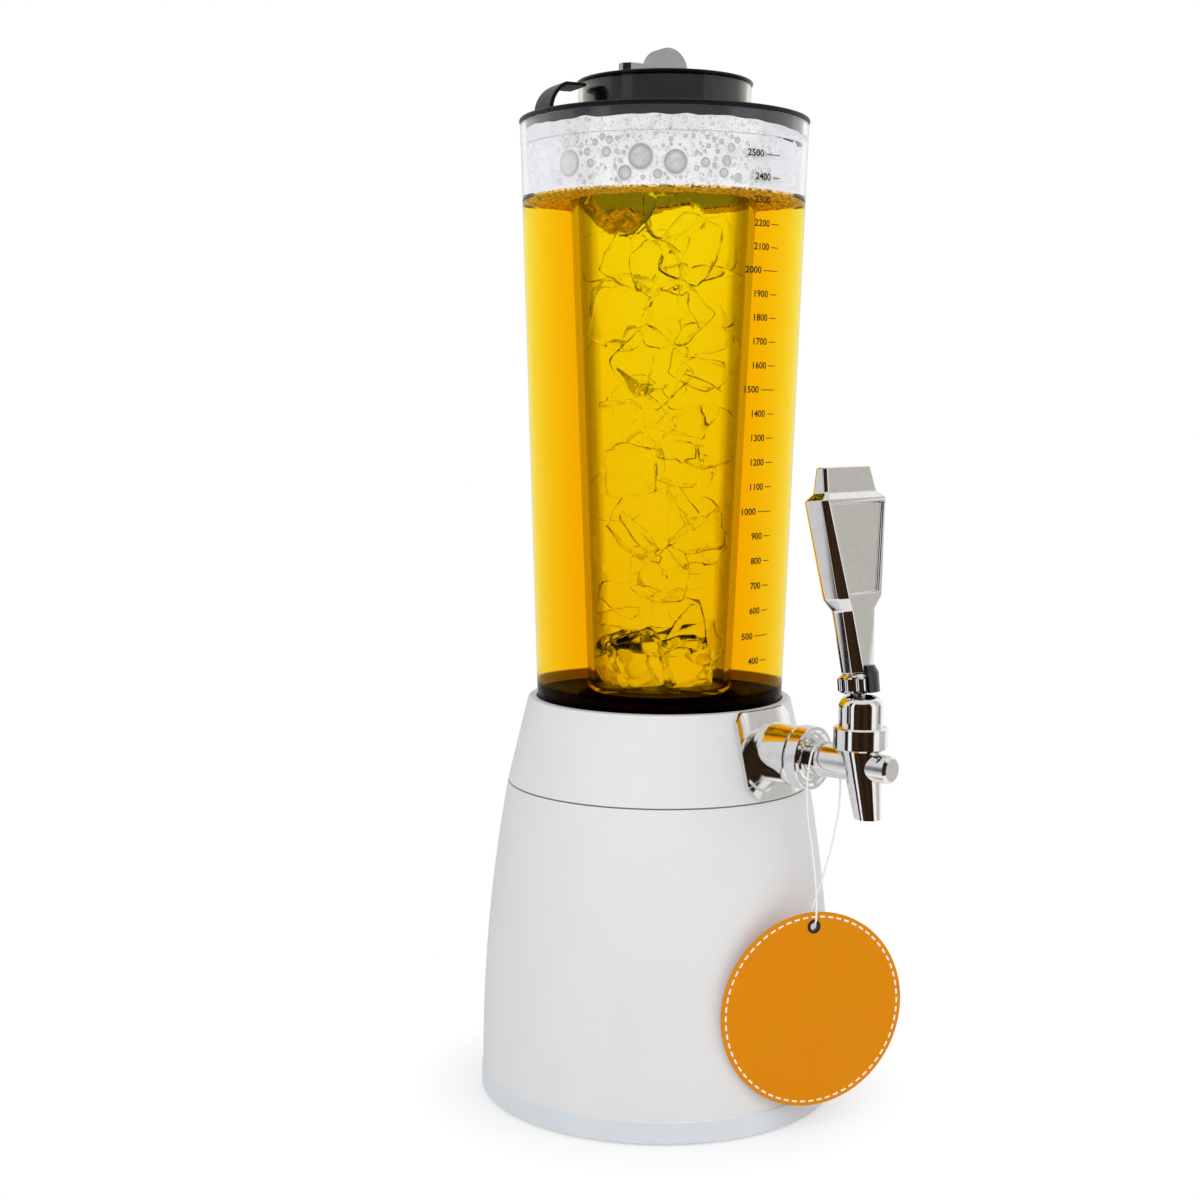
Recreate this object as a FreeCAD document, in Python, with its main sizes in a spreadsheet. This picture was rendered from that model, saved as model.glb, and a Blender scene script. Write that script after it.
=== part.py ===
import FreeCAD, Part

# Drink tower with a chilling tube and a lever tap, as a parametric assembly in millimetres.
#
# Frame: the origin is on the tower's axis in the plane that its foot ring stands on, +Z is up and the tap
# points along -Y. Every driving size is a cell of the spreadsheet. Each sub-part is a function that builds
# one labelled object from sizes and from places, which are worked out of the sizes.

import math
import os
import re

import Sketcher

V = FreeCAD.Vector
UP = V(0, 0, 1)
LEAST_CUT = 0.001   # volume in cubic millimetres that a pocket has to take away
BEND_SHARE = 0.45   # part of a string's straight run that each of its two bends may take

SIZES = (
    # foot, ring and bottom plate
    ("ring_radius", 92.9), ("ring_height", 11.5), ("ring_wall", 3.0), ("ring_web", 2.5), ("ring_ledge", 12.9),
    ("ring_bevel", 0.6), ("ring_step", 0.6), ("foot_inset", 18.9), ("foot_width", 9.0),
    ("foot_clearance", 1.0), ("plate_thickness", 2.4), ("plate_recess", 1.6), ("plate_rib", 3.0),
    ("plate_rib_inset", 25.0), ("post_radius", 4.5), ("base_screw_inset", 8.4), ("boss_height", 12.0),
    ("screw_angle", 45.0),
    # base shell
    ("shell_height", 152.0), ("shell_taper", 13.7), ("shell_wall", 2.5), ("shell_bow", 831.0),
    ("deck_thickness", 2.5), ("deck_hole_inset", 5.0), ("seam_bevel", 0.4),
    # collar
    ("collar_height", 44.4), ("collar_taper", 10.7), ("collar_wall", 2.5), ("collar_flange", 12.7),
    ("collar_edge", 1.2), ("collar_round", 1.44), ("collar_screw_inset", 7.7), ("collar_post_radius", 4.05),
    # reservoir
    ("well_inset", 20.1), ("well_wall", 2.5), ("nut_room", 2.5), ("reservoir_flange", 9.5),
    ("reservoir_foot", 3.0), ("reservoir_screw_inset", 5.0), ("shelf_rise", 2.1), ("shelf_fall", 1.0),
    ("shelf_thickness", 2.5), ("channel_wall", 2.5), ("duct_wall", 2.7), ("duct_overlap", 2.1),
    ("boss_depth", 4.5),
    # container
    ("gasket_thickness", 1.5), ("container_height", 292.8), ("container_inset", 4.6),
    ("container_flare", 9.6), ("container_wall", 2.5), ("rim_round", 0.8),
    # lid
    ("lid_overhang", 0.5), ("lid_thickness", 2.5), ("lid_skirt", 6.7), ("lid_skirt_wall", 2.5),
    ("strap_inset", 6.0), ("strap_rise", 14.0), ("strap_thickness", 1.6), ("strap_width", 19.0),
    ("strap_foot", 2.2), ("strap_shoulder", 9.1), ("strap_outer_bend", 15.6), ("strap_inner_bend", 14.3),
    ("strap_end_gap", 4.2), ("strap_angle", 157.0),
    # chilling tube
    ("tube_lift", 1.0), ("tube_inset", 23.8), ("tube_taper", 11.2), ("tube_wall", 2.0),
    ("tube_foot_round", 4.0), ("neck_step", 3.2), ("neck_rise", 19.3), ("neck_wall", 1.8),
    ("bead_height", 1.2), ("bead_width", 1.0), ("shoulder_drop", 3.0),
    # cap with its knob
    ("cap_overhang", 0.9), ("cap_thickness", 2.1), ("cap_plug_depth", 12.0), ("cap_plug_wall", 2.0),
    ("knob_length", 52.0), ("knob_width", 10.0), ("knob_bevel", 3.0), ("knob_height", 7.5),
    ("knob_angle", -18.0), ("fin_radius", 11.0), ("fin_thickness", 8.0), ("fin_height", 16.9),
    # tap: plate, sleeve, shank and nuts, outwards from the collar
    ("tap_rise", 23.5), ("plate_side", 43.0), ("saddle_thickness", 2.0), ("plate_corner", 5.0),
    ("sleeve_radius", 15.0), ("sleeve_reach", 12.8), ("sleeve_spigot", 2.0), ("spigot_step", 2.0),
    ("ring_nut_growth", 0.9), ("ring_nut_length", 8.0), ("ring_nut_bevel", 1.0), ("nut_rim", 2.0),
    ("nut_slope", 1.2), ("nut_groove", 1.2), ("nut_groove_depth", 1.1), ("nut_hub_depth", 0.4),
    ("shank_radius", 8.0), ("shank_bore", 5.6), ("shank_stub", 0.5), ("shank_proud", 2.2),
    ("washer_thickness", 1.2), ("tail_flange_step", 2.2), ("tail_flange", 2.2), ("tail_length", 31.6),
    ("lock_nut_flats", 22.0), ("lock_nut_thickness", 6.0), ("shank_washer_thickness", 2.0),
    # tap body, upwards and outwards from where the tap's and the barrel's axes cross
    ("barrel_wall", 2.4), ("barrel_rise", 8.2), ("spout_drop", 25.3), ("spout_wall", 1.6),
    ("spout_forward", 5.0), ("spout_bore", 4.9), ("waterway_radius", 4.0), ("waterway_forward", 1.2),
    ("chamber_radius", 7.6),
    ("chamber_rise", 9.0), ("neck_drop", 2.8), ("ball_room", 0.5), ("tap_neck_wall", 1.8),
    ("seat_back", 15.0), ("guide_bore", 4.4), ("nose_radius", 6.9), ("nose_start", 6.4),
    ("nose_length", 12.1), ("nose_bevel", 1.4), ("nose_web", 5.5),
    ("plunger_radius", 2.4), ("plunger_tail", 7.0), ("yoke_radius", 3.8), ("yoke_length", 7.8),
    ("yoke_slot", 5.0), ("seal_radius", 5.0), ("seal_thickness", 3.0),
    ("bonnet_wall", 1.95), ("bonnet_nut_wall", 4.4), ("bonnet_nut_rise", 1.0), ("nut_bevel", 0.8),
    ("bonnet_rise", 6.0), ("bonnet_lip", 0.6), ("bonnet_shoulder", 4.5), ("bonnet_round", 5.6),
    ("bonnet_cavity", 4.2),
    ("slot_width", 1.6), ("slot_depth", 0.9), ("slot_start", 2.3), ("slot_height", 8.6),
    ("ball_washer_thickness", 2.0), ("friction_ring_start", 0.6),
    # lever and handle: lengths along the lever, upwards from the pivot
    ("handle_lean", 6.0), ("ball_radius", 6.5), ("lever_neck_radius", 3.0), ("lever_thread", 6.0),
    ("lever_tip", 18.5), ("tip_above", 2.5), ("lever_tip_radius", 2.0), ("lever_rod_radius", 1.6),
    ("ferrule_gap", 1.9), ("ferrule_height", 9.6), ("ferrule_radius", 8.9), ("lobe_radius", 3.0),
    ("lobe_proud", 1.1), ("stem_length", 30.4), ("stem_foot_width", 16.0), ("stem_foot_depth", 13.4),
    ("stem_foot_bevel", 4.0), ("stem_top_width", 25.0), ("stem_top_depth", 12.4), ("stem_top_bevel", 3.3),
    ("shoulder_length", 5.8), ("head_length", 47.2), ("head_bottom_width", 34.6),
    ("head_bottom_depth", 15.6), ("head_bottom_bevel", 3.9), ("head_top_width", 52.4),
    ("head_top_depth", 14.2), ("head_top_bevel", 2.4), ("panel_margin", 2.1), ("panel_depth", 1.4),
    ("brow_height", 3.4), ("crown_height", 12.2), ("crown_foot_width", 42.6), ("crown_foot_depth", 9.0),
    ("crown_top_width", 38.4), ("crown_top_depth", 6.4), ("crown_bevel", 1.4),
    ("pad_proud", 1.5), ("pad_rise", 3.4), ("pad_front_width", 11.6), ("pad_back_width", 6.2),
    ("pad_lean", 2.2),
    # fasteners and clearances
    ("screw_radius", 1.5), ("screw_head_radius", 3.1), ("screw_head", 1.4), ("screw_crown", 0.9),
    ("base_screw_length", 17.0), ("deck_screw_length", 12.0), ("hole_clearance", 0.2), ("fit_gap", 0.3),
    ("thread_gap", 0.05), ("running_gap", 0.1), ("cut_over", 1.0),
    # hang tag and its string
    ("tag_radius", 49.0), ("tag_thickness", 1.0), ("tag_hole_drop", 83.0), ("tag_hole_rise", 42.0),
    ("eyelet_radius", 3.4), ("eyelet_bore", 2.0), ("eyelet_lip", 0.4), ("tag_out", 11.3),
    ("tag_angle", -28.0), ("tag_shift", -4.0), ("string_radius", 0.5),
)

# Places and radii that follow from the sizes. Heights are from the floor and reaches from the tower's axis,
# but for the handle's heights, which are from the lever's pivot.
PLACES = {
    "ring_top": "foot_clearance + ring_height",
    "ring_inner": "ring_radius - ring_ledge",
    "foot_radius": "ring_radius - foot_inset",
    "plate_rib_radius": "foot_radius - foot_width - plate_rib_inset",
    "plate_bottom": "foot_clearance + plate_recess",
    "plate_top": "plate_bottom + plate_thickness",
    "base_screw_circle": "ring_radius - base_screw_inset",
    "shell_radius": "ring_radius - ring_step",
    "shell_top_radius": "ring_radius - shell_taper",
    "seam_height": "ring_top + shell_height",
    "deck_bottom": "seam_height - deck_thickness",
    "deck_hole": "well_radius - deck_hole_inset",
    "collar_top": "seam_height + collar_height",
    "collar_top_radius": "shell_top_radius - collar_taper",
    "collar_slope": "collar_taper / collar_height",
    "collar_flange_inner": "shell_top_radius - collar_flange",
    "collar_screw_circle": "shell_top_radius - collar_screw_inset",
    "container_radius": "collar_top_radius - container_inset",
    "container_inner": "container_radius - container_wall",
    "container_foot": "channel_floor + gasket_thickness",
    "container_top": "collar_top + container_height",
    "container_rim_radius": "container_radius + container_flare",
    "well_radius": "container_inner - fit_gap - well_inset",
    "well_outer": "well_radius + well_wall",
    "well_floor": "tap_height - lock_nut_flats / 2 - nut_room - well_wall",
    "reservoir_foot_radius": "well_outer + reservoir_flange",
    "reservoir_screw_circle": "well_outer + reservoir_screw_inset",
    "shelf_height": "collar_top + shelf_rise",
    "duct_radius": "shank_radius + hole_clearance + duct_wall",
    "duct_reach": "container_radius + duct_overlap",
    "channel_floor": "tap_height + duct_radius + running_gap",
    "boss_reach": "well_radius - boss_depth",
    "lid_radius": "container_rim_radius + lid_overhang",
    "lid_top": "container_top + lid_thickness",
    "lid_hole": "neck_radius + fit_gap",
    "strap_root": "lid_radius - strap_inset",
    "strap_end": "neck_radius + strap_end_gap",
    "tube_foot": "shelf_height + tube_lift",
    "tube_top_radius": "container_rim_radius - container_wall - tube_inset",
    "tube_foot_radius": "tube_top_radius - tube_taper",
    "neck_radius": "tube_top_radius - neck_step",
    "neck_top": "container_top + neck_rise",
    "cap_radius": "neck_radius + cap_overhang",
    "cap_top": "neck_top + cap_thickness",
    "fin_top": "cap_top + fin_height",
    "tap_height": "seam_height + tap_rise",
    "sleeve_end": "shell_top_radius + sleeve_reach",
    "spigot_radius": "sleeve_radius - spigot_step",
    "ring_nut_radius": "sleeve_radius + ring_nut_growth",
    "lock_nut_front": "boss_reach - shank_washer_thickness",
    "shank_start": "lock_nut_front - lock_nut_thickness - shank_stub",
    "shank_end": "sleeve_end + shank_proud",
    "tail_flange_radius": "shank_radius + tail_flange_step",
    "tail_start": "shank_end + washer_thickness",
    "barrel_reach": "tail_start + tail_length",
    "body_radius": "chamber_radius + barrel_wall",
    "body_top": "tap_height + barrel_rise",
    "spout_bottom": "tap_height - spout_drop",
    "spout_radius": "spout_bore + spout_wall",
    "chamber_top": "tap_height + chamber_rise",
    "neck_bore": "ball_radius + ball_room",
    "tap_neck_radius": "neck_bore + tap_neck_wall",
    "pivot_height": "tap_height + lever_tip + tip_above",
    "tap_neck_top": "pivot_height - neck_drop",
    "seat_reach": "barrel_reach - seat_back",
    "nose_seat": "barrel_reach + nose_start",
    "nose_reach": "nose_seat + nose_length",
    "plunger_front": "nose_reach - nose_web",
    "plunger_back": "seat_reach - plunger_tail",
    "bonnet_radius": "tap_neck_radius + bonnet_wall",
    "bonnet_opening": "ball_radius + ball_room * 2",
    "bonnet_nut_radius": "tap_neck_radius + bonnet_nut_wall",
    "bonnet_nut_top": "tap_neck_top + bonnet_nut_rise",
    "bonnet_top": "pivot_height + ball_radius + bonnet_rise",
    "bonnet_cavity_top": "pivot_height + bonnet_cavity",
    "ferrule_bottom": "ball_radius + bonnet_rise + ferrule_gap",
    "ferrule_top": "ferrule_bottom + ferrule_height",
    "lever_thread_end": "ferrule_top + lever_thread",
    "stem_top": "ferrule_top + stem_length",
    "head_bottom": "stem_top + shoulder_length",
    "head_top": "head_bottom + head_length",
    "crown_foot": "head_top + brow_height",
    "crown_top": "crown_foot + crown_height",
    "pad_radius": "ferrule_radius + pad_proud",
    "tag_reach": "shank_end + tag_out",
    "tag_hole_height": "tap_height - tag_hole_drop",
    "tag_centre": "tag_hole_height - tag_hole_rise",
}

COUNTS = {"screws": 4, "slots": 4, "lobes": 8}

# Route of the tag's string from one side of the eyelet, round the tap's tail and back to the eyelet:
# x to the side, y towards the back and z up, from the point of the tap's axis above the tag.
STRING_ROUTE = (
    (-3.7, 1.6, -81.5), (-4.8, -0.5, -81.5), (-5.1, -1.2, -77.8), (-5.4, -1.4, -72.0),
    (-6.0, -1.3, -62.0), (-8.6, -0.7, -44.0), (-12.8, -0.1, -25.0), (-13.2, 0.0, -7.0),
    (-9.8, 0.0, 6.0), (-4.2, 0.0, 8.6), (4.2, 0.0, 8.6), (10.0, 0.0, 6.0),
    (14.8, 0.0, -6.0), (15.4, 0.1, -24.0), (10.4, 0.9, -44.0), (3.2, 2.3, -63.0),
    (-0.4, 3.7, -72.0), (-2.1, 4.2, -77.6), (-2.6, 3.6, -81.5), (-3.5, 1.9, -81.5),
)

doc = FreeCAD.newDocument("drink_tower")
sheet = doc.addObject("Spreadsheet::Sheet", "Sheet")
for row, (alias, value) in enumerate(SIZES, start=1):
    sheet.set("A%d" % row, alias)
    sheet.set("B%d" % row, str(value))
    sheet.setAlias("B%d" % row, alias)
doc.recompute()
ALIASES = {alias for alias, value in SIZES}
nodes = []


def spelled(text, lead=""):
    """The expression with each place written out in sizes, and each size's name led by its sheet."""
    def write(word):
        name = word[0]
        if name in PLACES:
            return "(%s)" % spelled(PLACES[name], lead)
        return lead + name if name in ALIASES else name
    return re.sub(r"[a-z][a-z_]*", write, text)


def mm(text):
    """Value of an expression of sizes and places."""
    return float(sheet.evalExpression(spelled(text)))


def linked(text):
    """The expression as an object outside the sheet writes it."""
    return spelled(text, "Sheet.")


def bind(thing, **cells):
    """Tie properties to expressions; a double underscore in a name stands for a dot."""
    for name, text in cells.items():
        thing.setExpression(name.replace("__", "."), linked(text))


def new_body(label):
    body = doc.addObject("PartDesign::Body", label)
    body.Label = label
    body.AllowCompound = True
    return body


def origin_part(body, role):
    return next(part for part in body.Origin.OriginFeatures if part.Role == role)


def keep(thing, label):
    """Make the object a sub-part of the assembly."""
    thing.Label = label
    nodes.append(thing)
    return thing


def new_sketch(body, plane):
    sketch = body.newObject("Sketcher::SketchObject", body.Name + "_sketch")
    sketch.AttachmentSupport = [(origin_part(body, plane), "")]
    sketch.MapMode = "FlatFace"
    return sketch


def pin_point(sketch, shape_id, end, across, up):
    """Hold one end of a line or arc, or a circle's centre, at two expressions from the sketch's origin."""
    for kind, axis, text in (("DistanceX", -2, across), ("DistanceY", -1, up)):
        if text == "0":
            sketch.addConstraint(Sketcher.Constraint("PointOnObject", shape_id, end, axis))
            continue
        held = sketch.addConstraint(Sketcher.Constraint(kind, -1, 1, shape_id, end, mm(text)))
        sketch.setExpression("Constraints[%d]" % held, linked(text))


def draw_arc(sketch, start, end, radius):
    """Minor arc from start to end; a positive radius bulges to the right of the run. Returns id and ends."""
    middle = (start + end) * 0.5
    run = end - start
    left = V(-run.y, run.x, 0).normalize()
    centre = middle + left * math.copysign(math.sqrt(radius ** 2 - (run.Length / 2) ** 2), radius)
    angles = [math.atan2(point.y - centre.y, point.x - centre.x) for point in (start, end)]
    forward = radius > 0
    first, last = angles if forward else reversed(angles)
    circle = Part.Circle(centre, UP, abs(radius))
    arc = sketch.addGeometry(Part.ArcOfCircle(circle, first, last + (math.tau if last < first else 0)))
    return (arc, 1, 2) if forward else (arc, 2, 1)


def outline(sketch, corners):
    """Closed outline through corners (across, up) or (across, up, radius of the arc to the next corner)."""
    points = [V(mm(corner[0]), mm(corner[1]), 0) for corner in corners]
    runs = []
    for corner, start, end in zip(corners, points, points[1:] + points[:1]):
        if len(corner) == 3:
            runs.append(draw_arc(sketch, start, end, mm(corner[2])))
        else:
            runs.append((sketch.addGeometry(Part.LineSegment(start, end)), 1, 2))
    for (shape_id, start, end), (next_id, next_start, next_end) in zip(runs, runs[1:] + runs[:1]):
        sketch.addConstraint(Sketcher.Constraint("Coincident", shape_id, end, next_id, next_start))
    for (shape_id, start, end), corner in zip(runs, corners):
        pin_point(sketch, shape_id, start, corner[0], corner[1])
        if len(corner) == 3:
            held = sketch.addConstraint(Sketcher.Constraint("Radius", shape_id, abs(mm(corner[2]))))
            sketch.setExpression("Constraints[%d]" % held, linked("abs(%s)" % corner[2]))
    return sketch


def circle(sketch, across, up, radius):
    shape_id = sketch.addGeometry(Part.Circle(V(mm(across), mm(up), 0), UP, mm(radius)))
    pin_point(sketch, shape_id, 3, across, up)
    held = sketch.addConstraint(Sketcher.Constraint("Radius", shape_id, mm(radius)))
    sketch.setExpression("Constraints[%d]" % held, linked(radius))
    return sketch


def beveled_box(sketch, width, depth, bevel, shift="0"):
    """Rectangle with its four corners cut off, centred across and moved up by shift."""
    side = "(%s) / 2" % width
    near = "(%s) / 2" % depth
    corners = []
    for across, up, order in ((1, -1, 0), (1, 1, 1), (-1, 1, 0), (-1, -1, 1)):
        along_side = ("%d * (%s - %s)" % (across, side, bevel), "%d * %s + %s" % (up, near, shift))
        along_end = ("%d * %s" % (across, side), "%d * (%s - %s) + %s" % (up, near, bevel, shift))
        corners += [along_end, along_side] if order else [along_side, along_end]
    return outline(sketch, corners)


def turned(body, corners, axis_at=None, groove=False):
    """Solid of revolution about the body's Z axis, or about a line beside it at axis_at."""
    sketch = outline(new_sketch(body, "XZ_Plane"), corners)
    if axis_at:
        bind(sketch, AttachmentOffset__Base__x=axis_at)
    kind = "PartDesign::Groove" if groove else "PartDesign::Revolution"
    turn = body.newObject(kind, body.Name + "_turn")
    turn.Profile = (sketch, [""])
    turn.ReferenceAxis = (sketch, ["V_Axis"])
    turn.Angle = 360
    return turn


def spread(body, feature, count):
    """Repeat a feature evenly about the body's Z axis."""
    pattern = body.newObject("PartDesign::PolarPattern", body.Name + "_spread")
    pattern.Originals = [feature]
    pattern.Axis = (origin_part(body, "Z_Axis"), [""])
    pattern.Angle = 360
    pattern.Occurrences = count
    body.Tip = pattern
    return pattern


def pad(body, sketch, length, height=None, midplane=False):
    if height:
        bind(sketch, AttachmentOffset__Base__z=height)
    feature = body.newObject("PartDesign::Pad", body.Name + "_pad")
    feature.Profile = (sketch, [""])
    bind(feature, Length=length)
    feature.Midplane = midplane
    return feature


def pocket(body, sketch, length, height=None, reverse=False, midplane=False):
    """Cut into the solid, below the sketch or above it when reversed, and make sure that something went."""
    if height:
        bind(sketch, AttachmentOffset__Base__z=height)
    doc.recompute()
    before = body.Shape.Volume
    feature = body.newObject("PartDesign::Pocket", body.Name + "_pocket")
    feature.Profile = (sketch, [""])
    bind(feature, Length=length)
    feature.Reversed = reverse
    feature.Midplane = midplane
    doc.recompute()
    if body.Shape.Volume > before - LEAST_CUT:
        raise ValueError("a pocket of %s cuts nothing" % body.Label)
    return feature


def rod(body, radius, start, end, cut=False, axis="Z", across="0", up="0"):
    """Cylinder added to a body or cut from it, along its Z axis, or along its -Y axis at a height."""
    kind = "PartDesign::SubtractiveCylinder" if cut else "PartDesign::AdditiveCylinder"
    feature = body.newObject(kind, body.Name + "_rod")
    bind(feature, Radius=radius, Height="%s - (%s)" % (end, start))
    if axis == "Z":
        feature.Placement = FreeCAD.Placement(V(), FreeCAD.Rotation())
        bind(feature, Placement__Base__x=across, Placement__Base__y=up, Placement__Base__z=start)
    else:
        feature.Placement = FreeCAD.Placement(V(), FreeCAD.Rotation(V(1, 0, 0), 90))
        bind(feature, Placement__Base__x=across, Placement__Base__y="-(%s)" % start, Placement__Base__z=up)
    return feature


def along_tap(thing):
    """Lay an object's Z axis along the tap, with its origin on the tower's axis."""
    thing.Placement = FreeCAD.Placement(V(), FreeCAD.Rotation(V(1, 0, 0), 90))
    bind(thing, Placement__Base__z="tap_height")
    return thing


def at_barrel(thing, height):
    """Stand an object on the barrel's vertical axis."""
    thing.Placement = FreeCAD.Placement(V(), FreeCAD.Rotation())
    bind(thing, Placement__Base__y="-barrel_reach", Placement__Base__z=height)
    return thing


def on_lever(thing):
    """Place an object whose origin is the lever's pivot and whose Z axis is the leaning lever."""
    thing.Placement = FreeCAD.Placement(V(), FreeCAD.Rotation(V(1, 0, 0), -mm("handle_lean")))
    bind(thing, Placement__Base__y="-barrel_reach", Placement__Base__z="pivot_height")
    return thing


def turn_about_tower(thing, angle):
    thing.Placement = FreeCAD.Placement(V(), FreeCAD.Rotation(UP, mm(angle)))
    return thing


def ring(body, inner, outer, bottom, top):
    """Plain ring or disc with a square section."""
    return turned(body, [(inner, bottom), (outer, bottom), (outer, top), (inner, top)])


def on_circle(circle_radius):
    """A screw's place on a circle, across and towards the back."""
    return ["(%s) * %s(1 deg * screw_angle)" % (circle_radius, part) for part in ("cos", "sin")]


def hole_ring(body, circle_radius, radius, height, length, reverse=False):
    """Round holes for screws on a circle."""
    sketch = circle(new_sketch(body, "XY_Plane"), *on_circle(circle_radius), radius)
    return spread(body, pocket(body, sketch, length, height, reverse), COUNTS["screws"])


def boss_ring(body, circle_radius, radius, height, length):
    """Round posts for screws on a circle."""
    sketch = circle(new_sketch(body, "XY_Plane"), *on_circle(circle_radius), radius)
    return spread(body, pad(body, sketch, length, height), COUNTS["screws"])


# ---------------------------------------------------------------- base

def foot_ring():
    """Rubber ring under the bottom plate; the tower stands on it."""
    body = new_body("foot_ring")
    inner = "foot_radius - foot_width"
    turned(body, [(inner + " + foot_clearance", "0"), ("foot_radius - foot_clearance", "0"),
                  ("foot_radius", "foot_clearance"), ("foot_radius", "plate_bottom"), (inner, "plate_bottom"),
                  (inner, "foot_clearance")])
    return keep(body, "foot_ring")


def base_ring():
    """Foot ring that carries the shell on an inward web."""
    body = new_body("base_ring")
    turned(body, [("ring_radius - ring_bevel", "foot_clearance"),
                  ("ring_radius", "foot_clearance + ring_bevel"),
                  ("ring_radius", "ring_top - ring_step"), ("shell_radius", "ring_top"),
                  ("ring_inner", "ring_top"), ("ring_inner", "ring_top - ring_web"),
                  ("ring_radius - ring_wall", "ring_top - ring_web"),
                  ("ring_radius - ring_wall", "foot_clearance")])
    hole_ring(body, "base_screw_circle", "screw_radius + hole_clearance", "ring_top", "ring_web * 2")
    return keep(body, "base_ring")


def base_plate():
    """Bottom plate with posts that meet the ring's web and a round stiffening rib."""
    body = new_body("base_plate")
    edge = "ring_radius - ring_wall - fit_gap"
    rib_outer = "plate_rib_radius + plate_thickness"
    turned(body, [("0", "plate_bottom"), (edge, "plate_bottom"), (edge, "plate_top"),
                  (rib_outer, "plate_top"), (rib_outer, "plate_top + plate_rib"),
                  ("plate_rib_radius", "plate_top + plate_rib"), ("plate_rib_radius", "plate_top"),
                  ("0", "plate_top")])
    boss_ring(body, "base_screw_circle", "post_radius", "plate_top", "ring_top - ring_web - plate_top")
    hole_ring(body, "base_screw_circle", "screw_radius + hole_clearance", "ring_top", "ring_top")
    return keep(body, "base_plate")


def base_shell():
    """Bowed outer housing with a screw flange at its foot and a deck that carries the reservoir."""
    body = new_body("base_shell")
    flange = "ring_top + shell_wall"
    turned(body, [("shell_radius", "ring_top", "shell_bow"),
                  ("shell_top_radius", "seam_height - seam_bevel"),
                  ("shell_top_radius - seam_bevel", "seam_height"),
                  ("deck_hole", "seam_height"), ("deck_hole", "deck_bottom"),
                  ("shell_top_radius - shell_wall", "deck_bottom", "-(shell_bow - shell_wall)"),
                  ("shell_radius - shell_wall", flange), ("ring_inner", flange), ("ring_inner", "ring_top")])
    boss_ring(body, "base_screw_circle", "post_radius", flange, "boss_height")
    hole_ring(body, "base_screw_circle", "screw_radius + thread_gap", "ring_top", "boss_height", reverse=True)
    for screw_circle in ("reservoir_screw_circle", "collar_screw_circle"):
        hole_ring(body, screw_circle, "screw_radius + hole_clearance", "seam_height", "deck_thickness * 2")
    return keep(body, "base_shell")


def screw(body, circle_radius, head_bottom, length):
    """Round-headed screw that points up, with its axis on a circle."""
    head_top = head_bottom + " + screw_head"
    end = head_top + " + " + length
    return turned(body, [("0", head_bottom), ("screw_head_radius - screw_crown", head_bottom),
                         ("screw_head_radius", head_bottom + " + screw_head / 2"),
                         ("screw_head_radius", head_top), ("screw_radius", head_top),
                         ("screw_radius", end + " - screw_radius / 2"), ("screw_radius / 2", end),
                         ("0", end)],
                  axis_at=circle_radius)


def base_screws():
    body = new_body("base_screws")
    spread(body, screw(body, "base_screw_circle", "plate_bottom - screw_head", "base_screw_length"),
           COUNTS["screws"])
    return keep(turn_about_tower(body, "screw_angle"), "base_screws")


def deck_screws():
    """Screws from under the deck: an inner ring into the reservoir and an outer ring into the collar."""
    body = new_body("deck_screws")
    for circle_radius, length in (("reservoir_screw_circle", "deck_thickness + reservoir_foot"),
                                  ("collar_screw_circle", "deck_screw_length")):
        spread(body, screw(body, circle_radius, "deck_bottom - screw_head", length), COUNTS["screws"])
    return keep(turn_about_tower(body, "screw_angle"), "deck_screws")


def collar():
    """Upper white cone: a lip closes round the container, a flange with bosses sits on the deck."""
    body = new_body("collar")
    lip = "collar_top - collar_wall"
    foot = "seam_height + collar_wall"
    hole = "container_radius + fit_gap * 2"
    inner = "shell_top_radius - collar_wall"
    turned(body, [("shell_top_radius - seam_bevel", "seam_height"),
                  ("shell_top_radius - seam_bevel * collar_slope", "seam_height + seam_bevel"),
                  ("collar_top_radius + collar_edge * collar_slope", "collar_top - collar_edge",
                   "collar_round"),
                  ("collar_top_radius - collar_edge", "collar_top"), (hole, "collar_top"), (hole, lip),
                  (inner + " - (collar_height - collar_wall) * collar_slope", lip),
                  (inner + " - collar_wall * collar_slope", foot),
                  ("collar_flange_inner", foot), ("collar_flange_inner", "seam_height")])
    boss_ring(body, "collar_screw_circle", "collar_post_radius", foot, "deck_screw_length - collar_wall")
    hole_ring(body, "collar_screw_circle", "screw_radius + thread_gap", "seam_height", "deck_screw_length",
              reverse=True)
    rod(body, "shank_radius + hole_clearance", "container_inner", "shell_top_radius", cut=True, axis="Y",
        up="tap_height")
    return keep(body, "collar")


# ---------------------------------------------------------------- reservoir, container, lid

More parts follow.
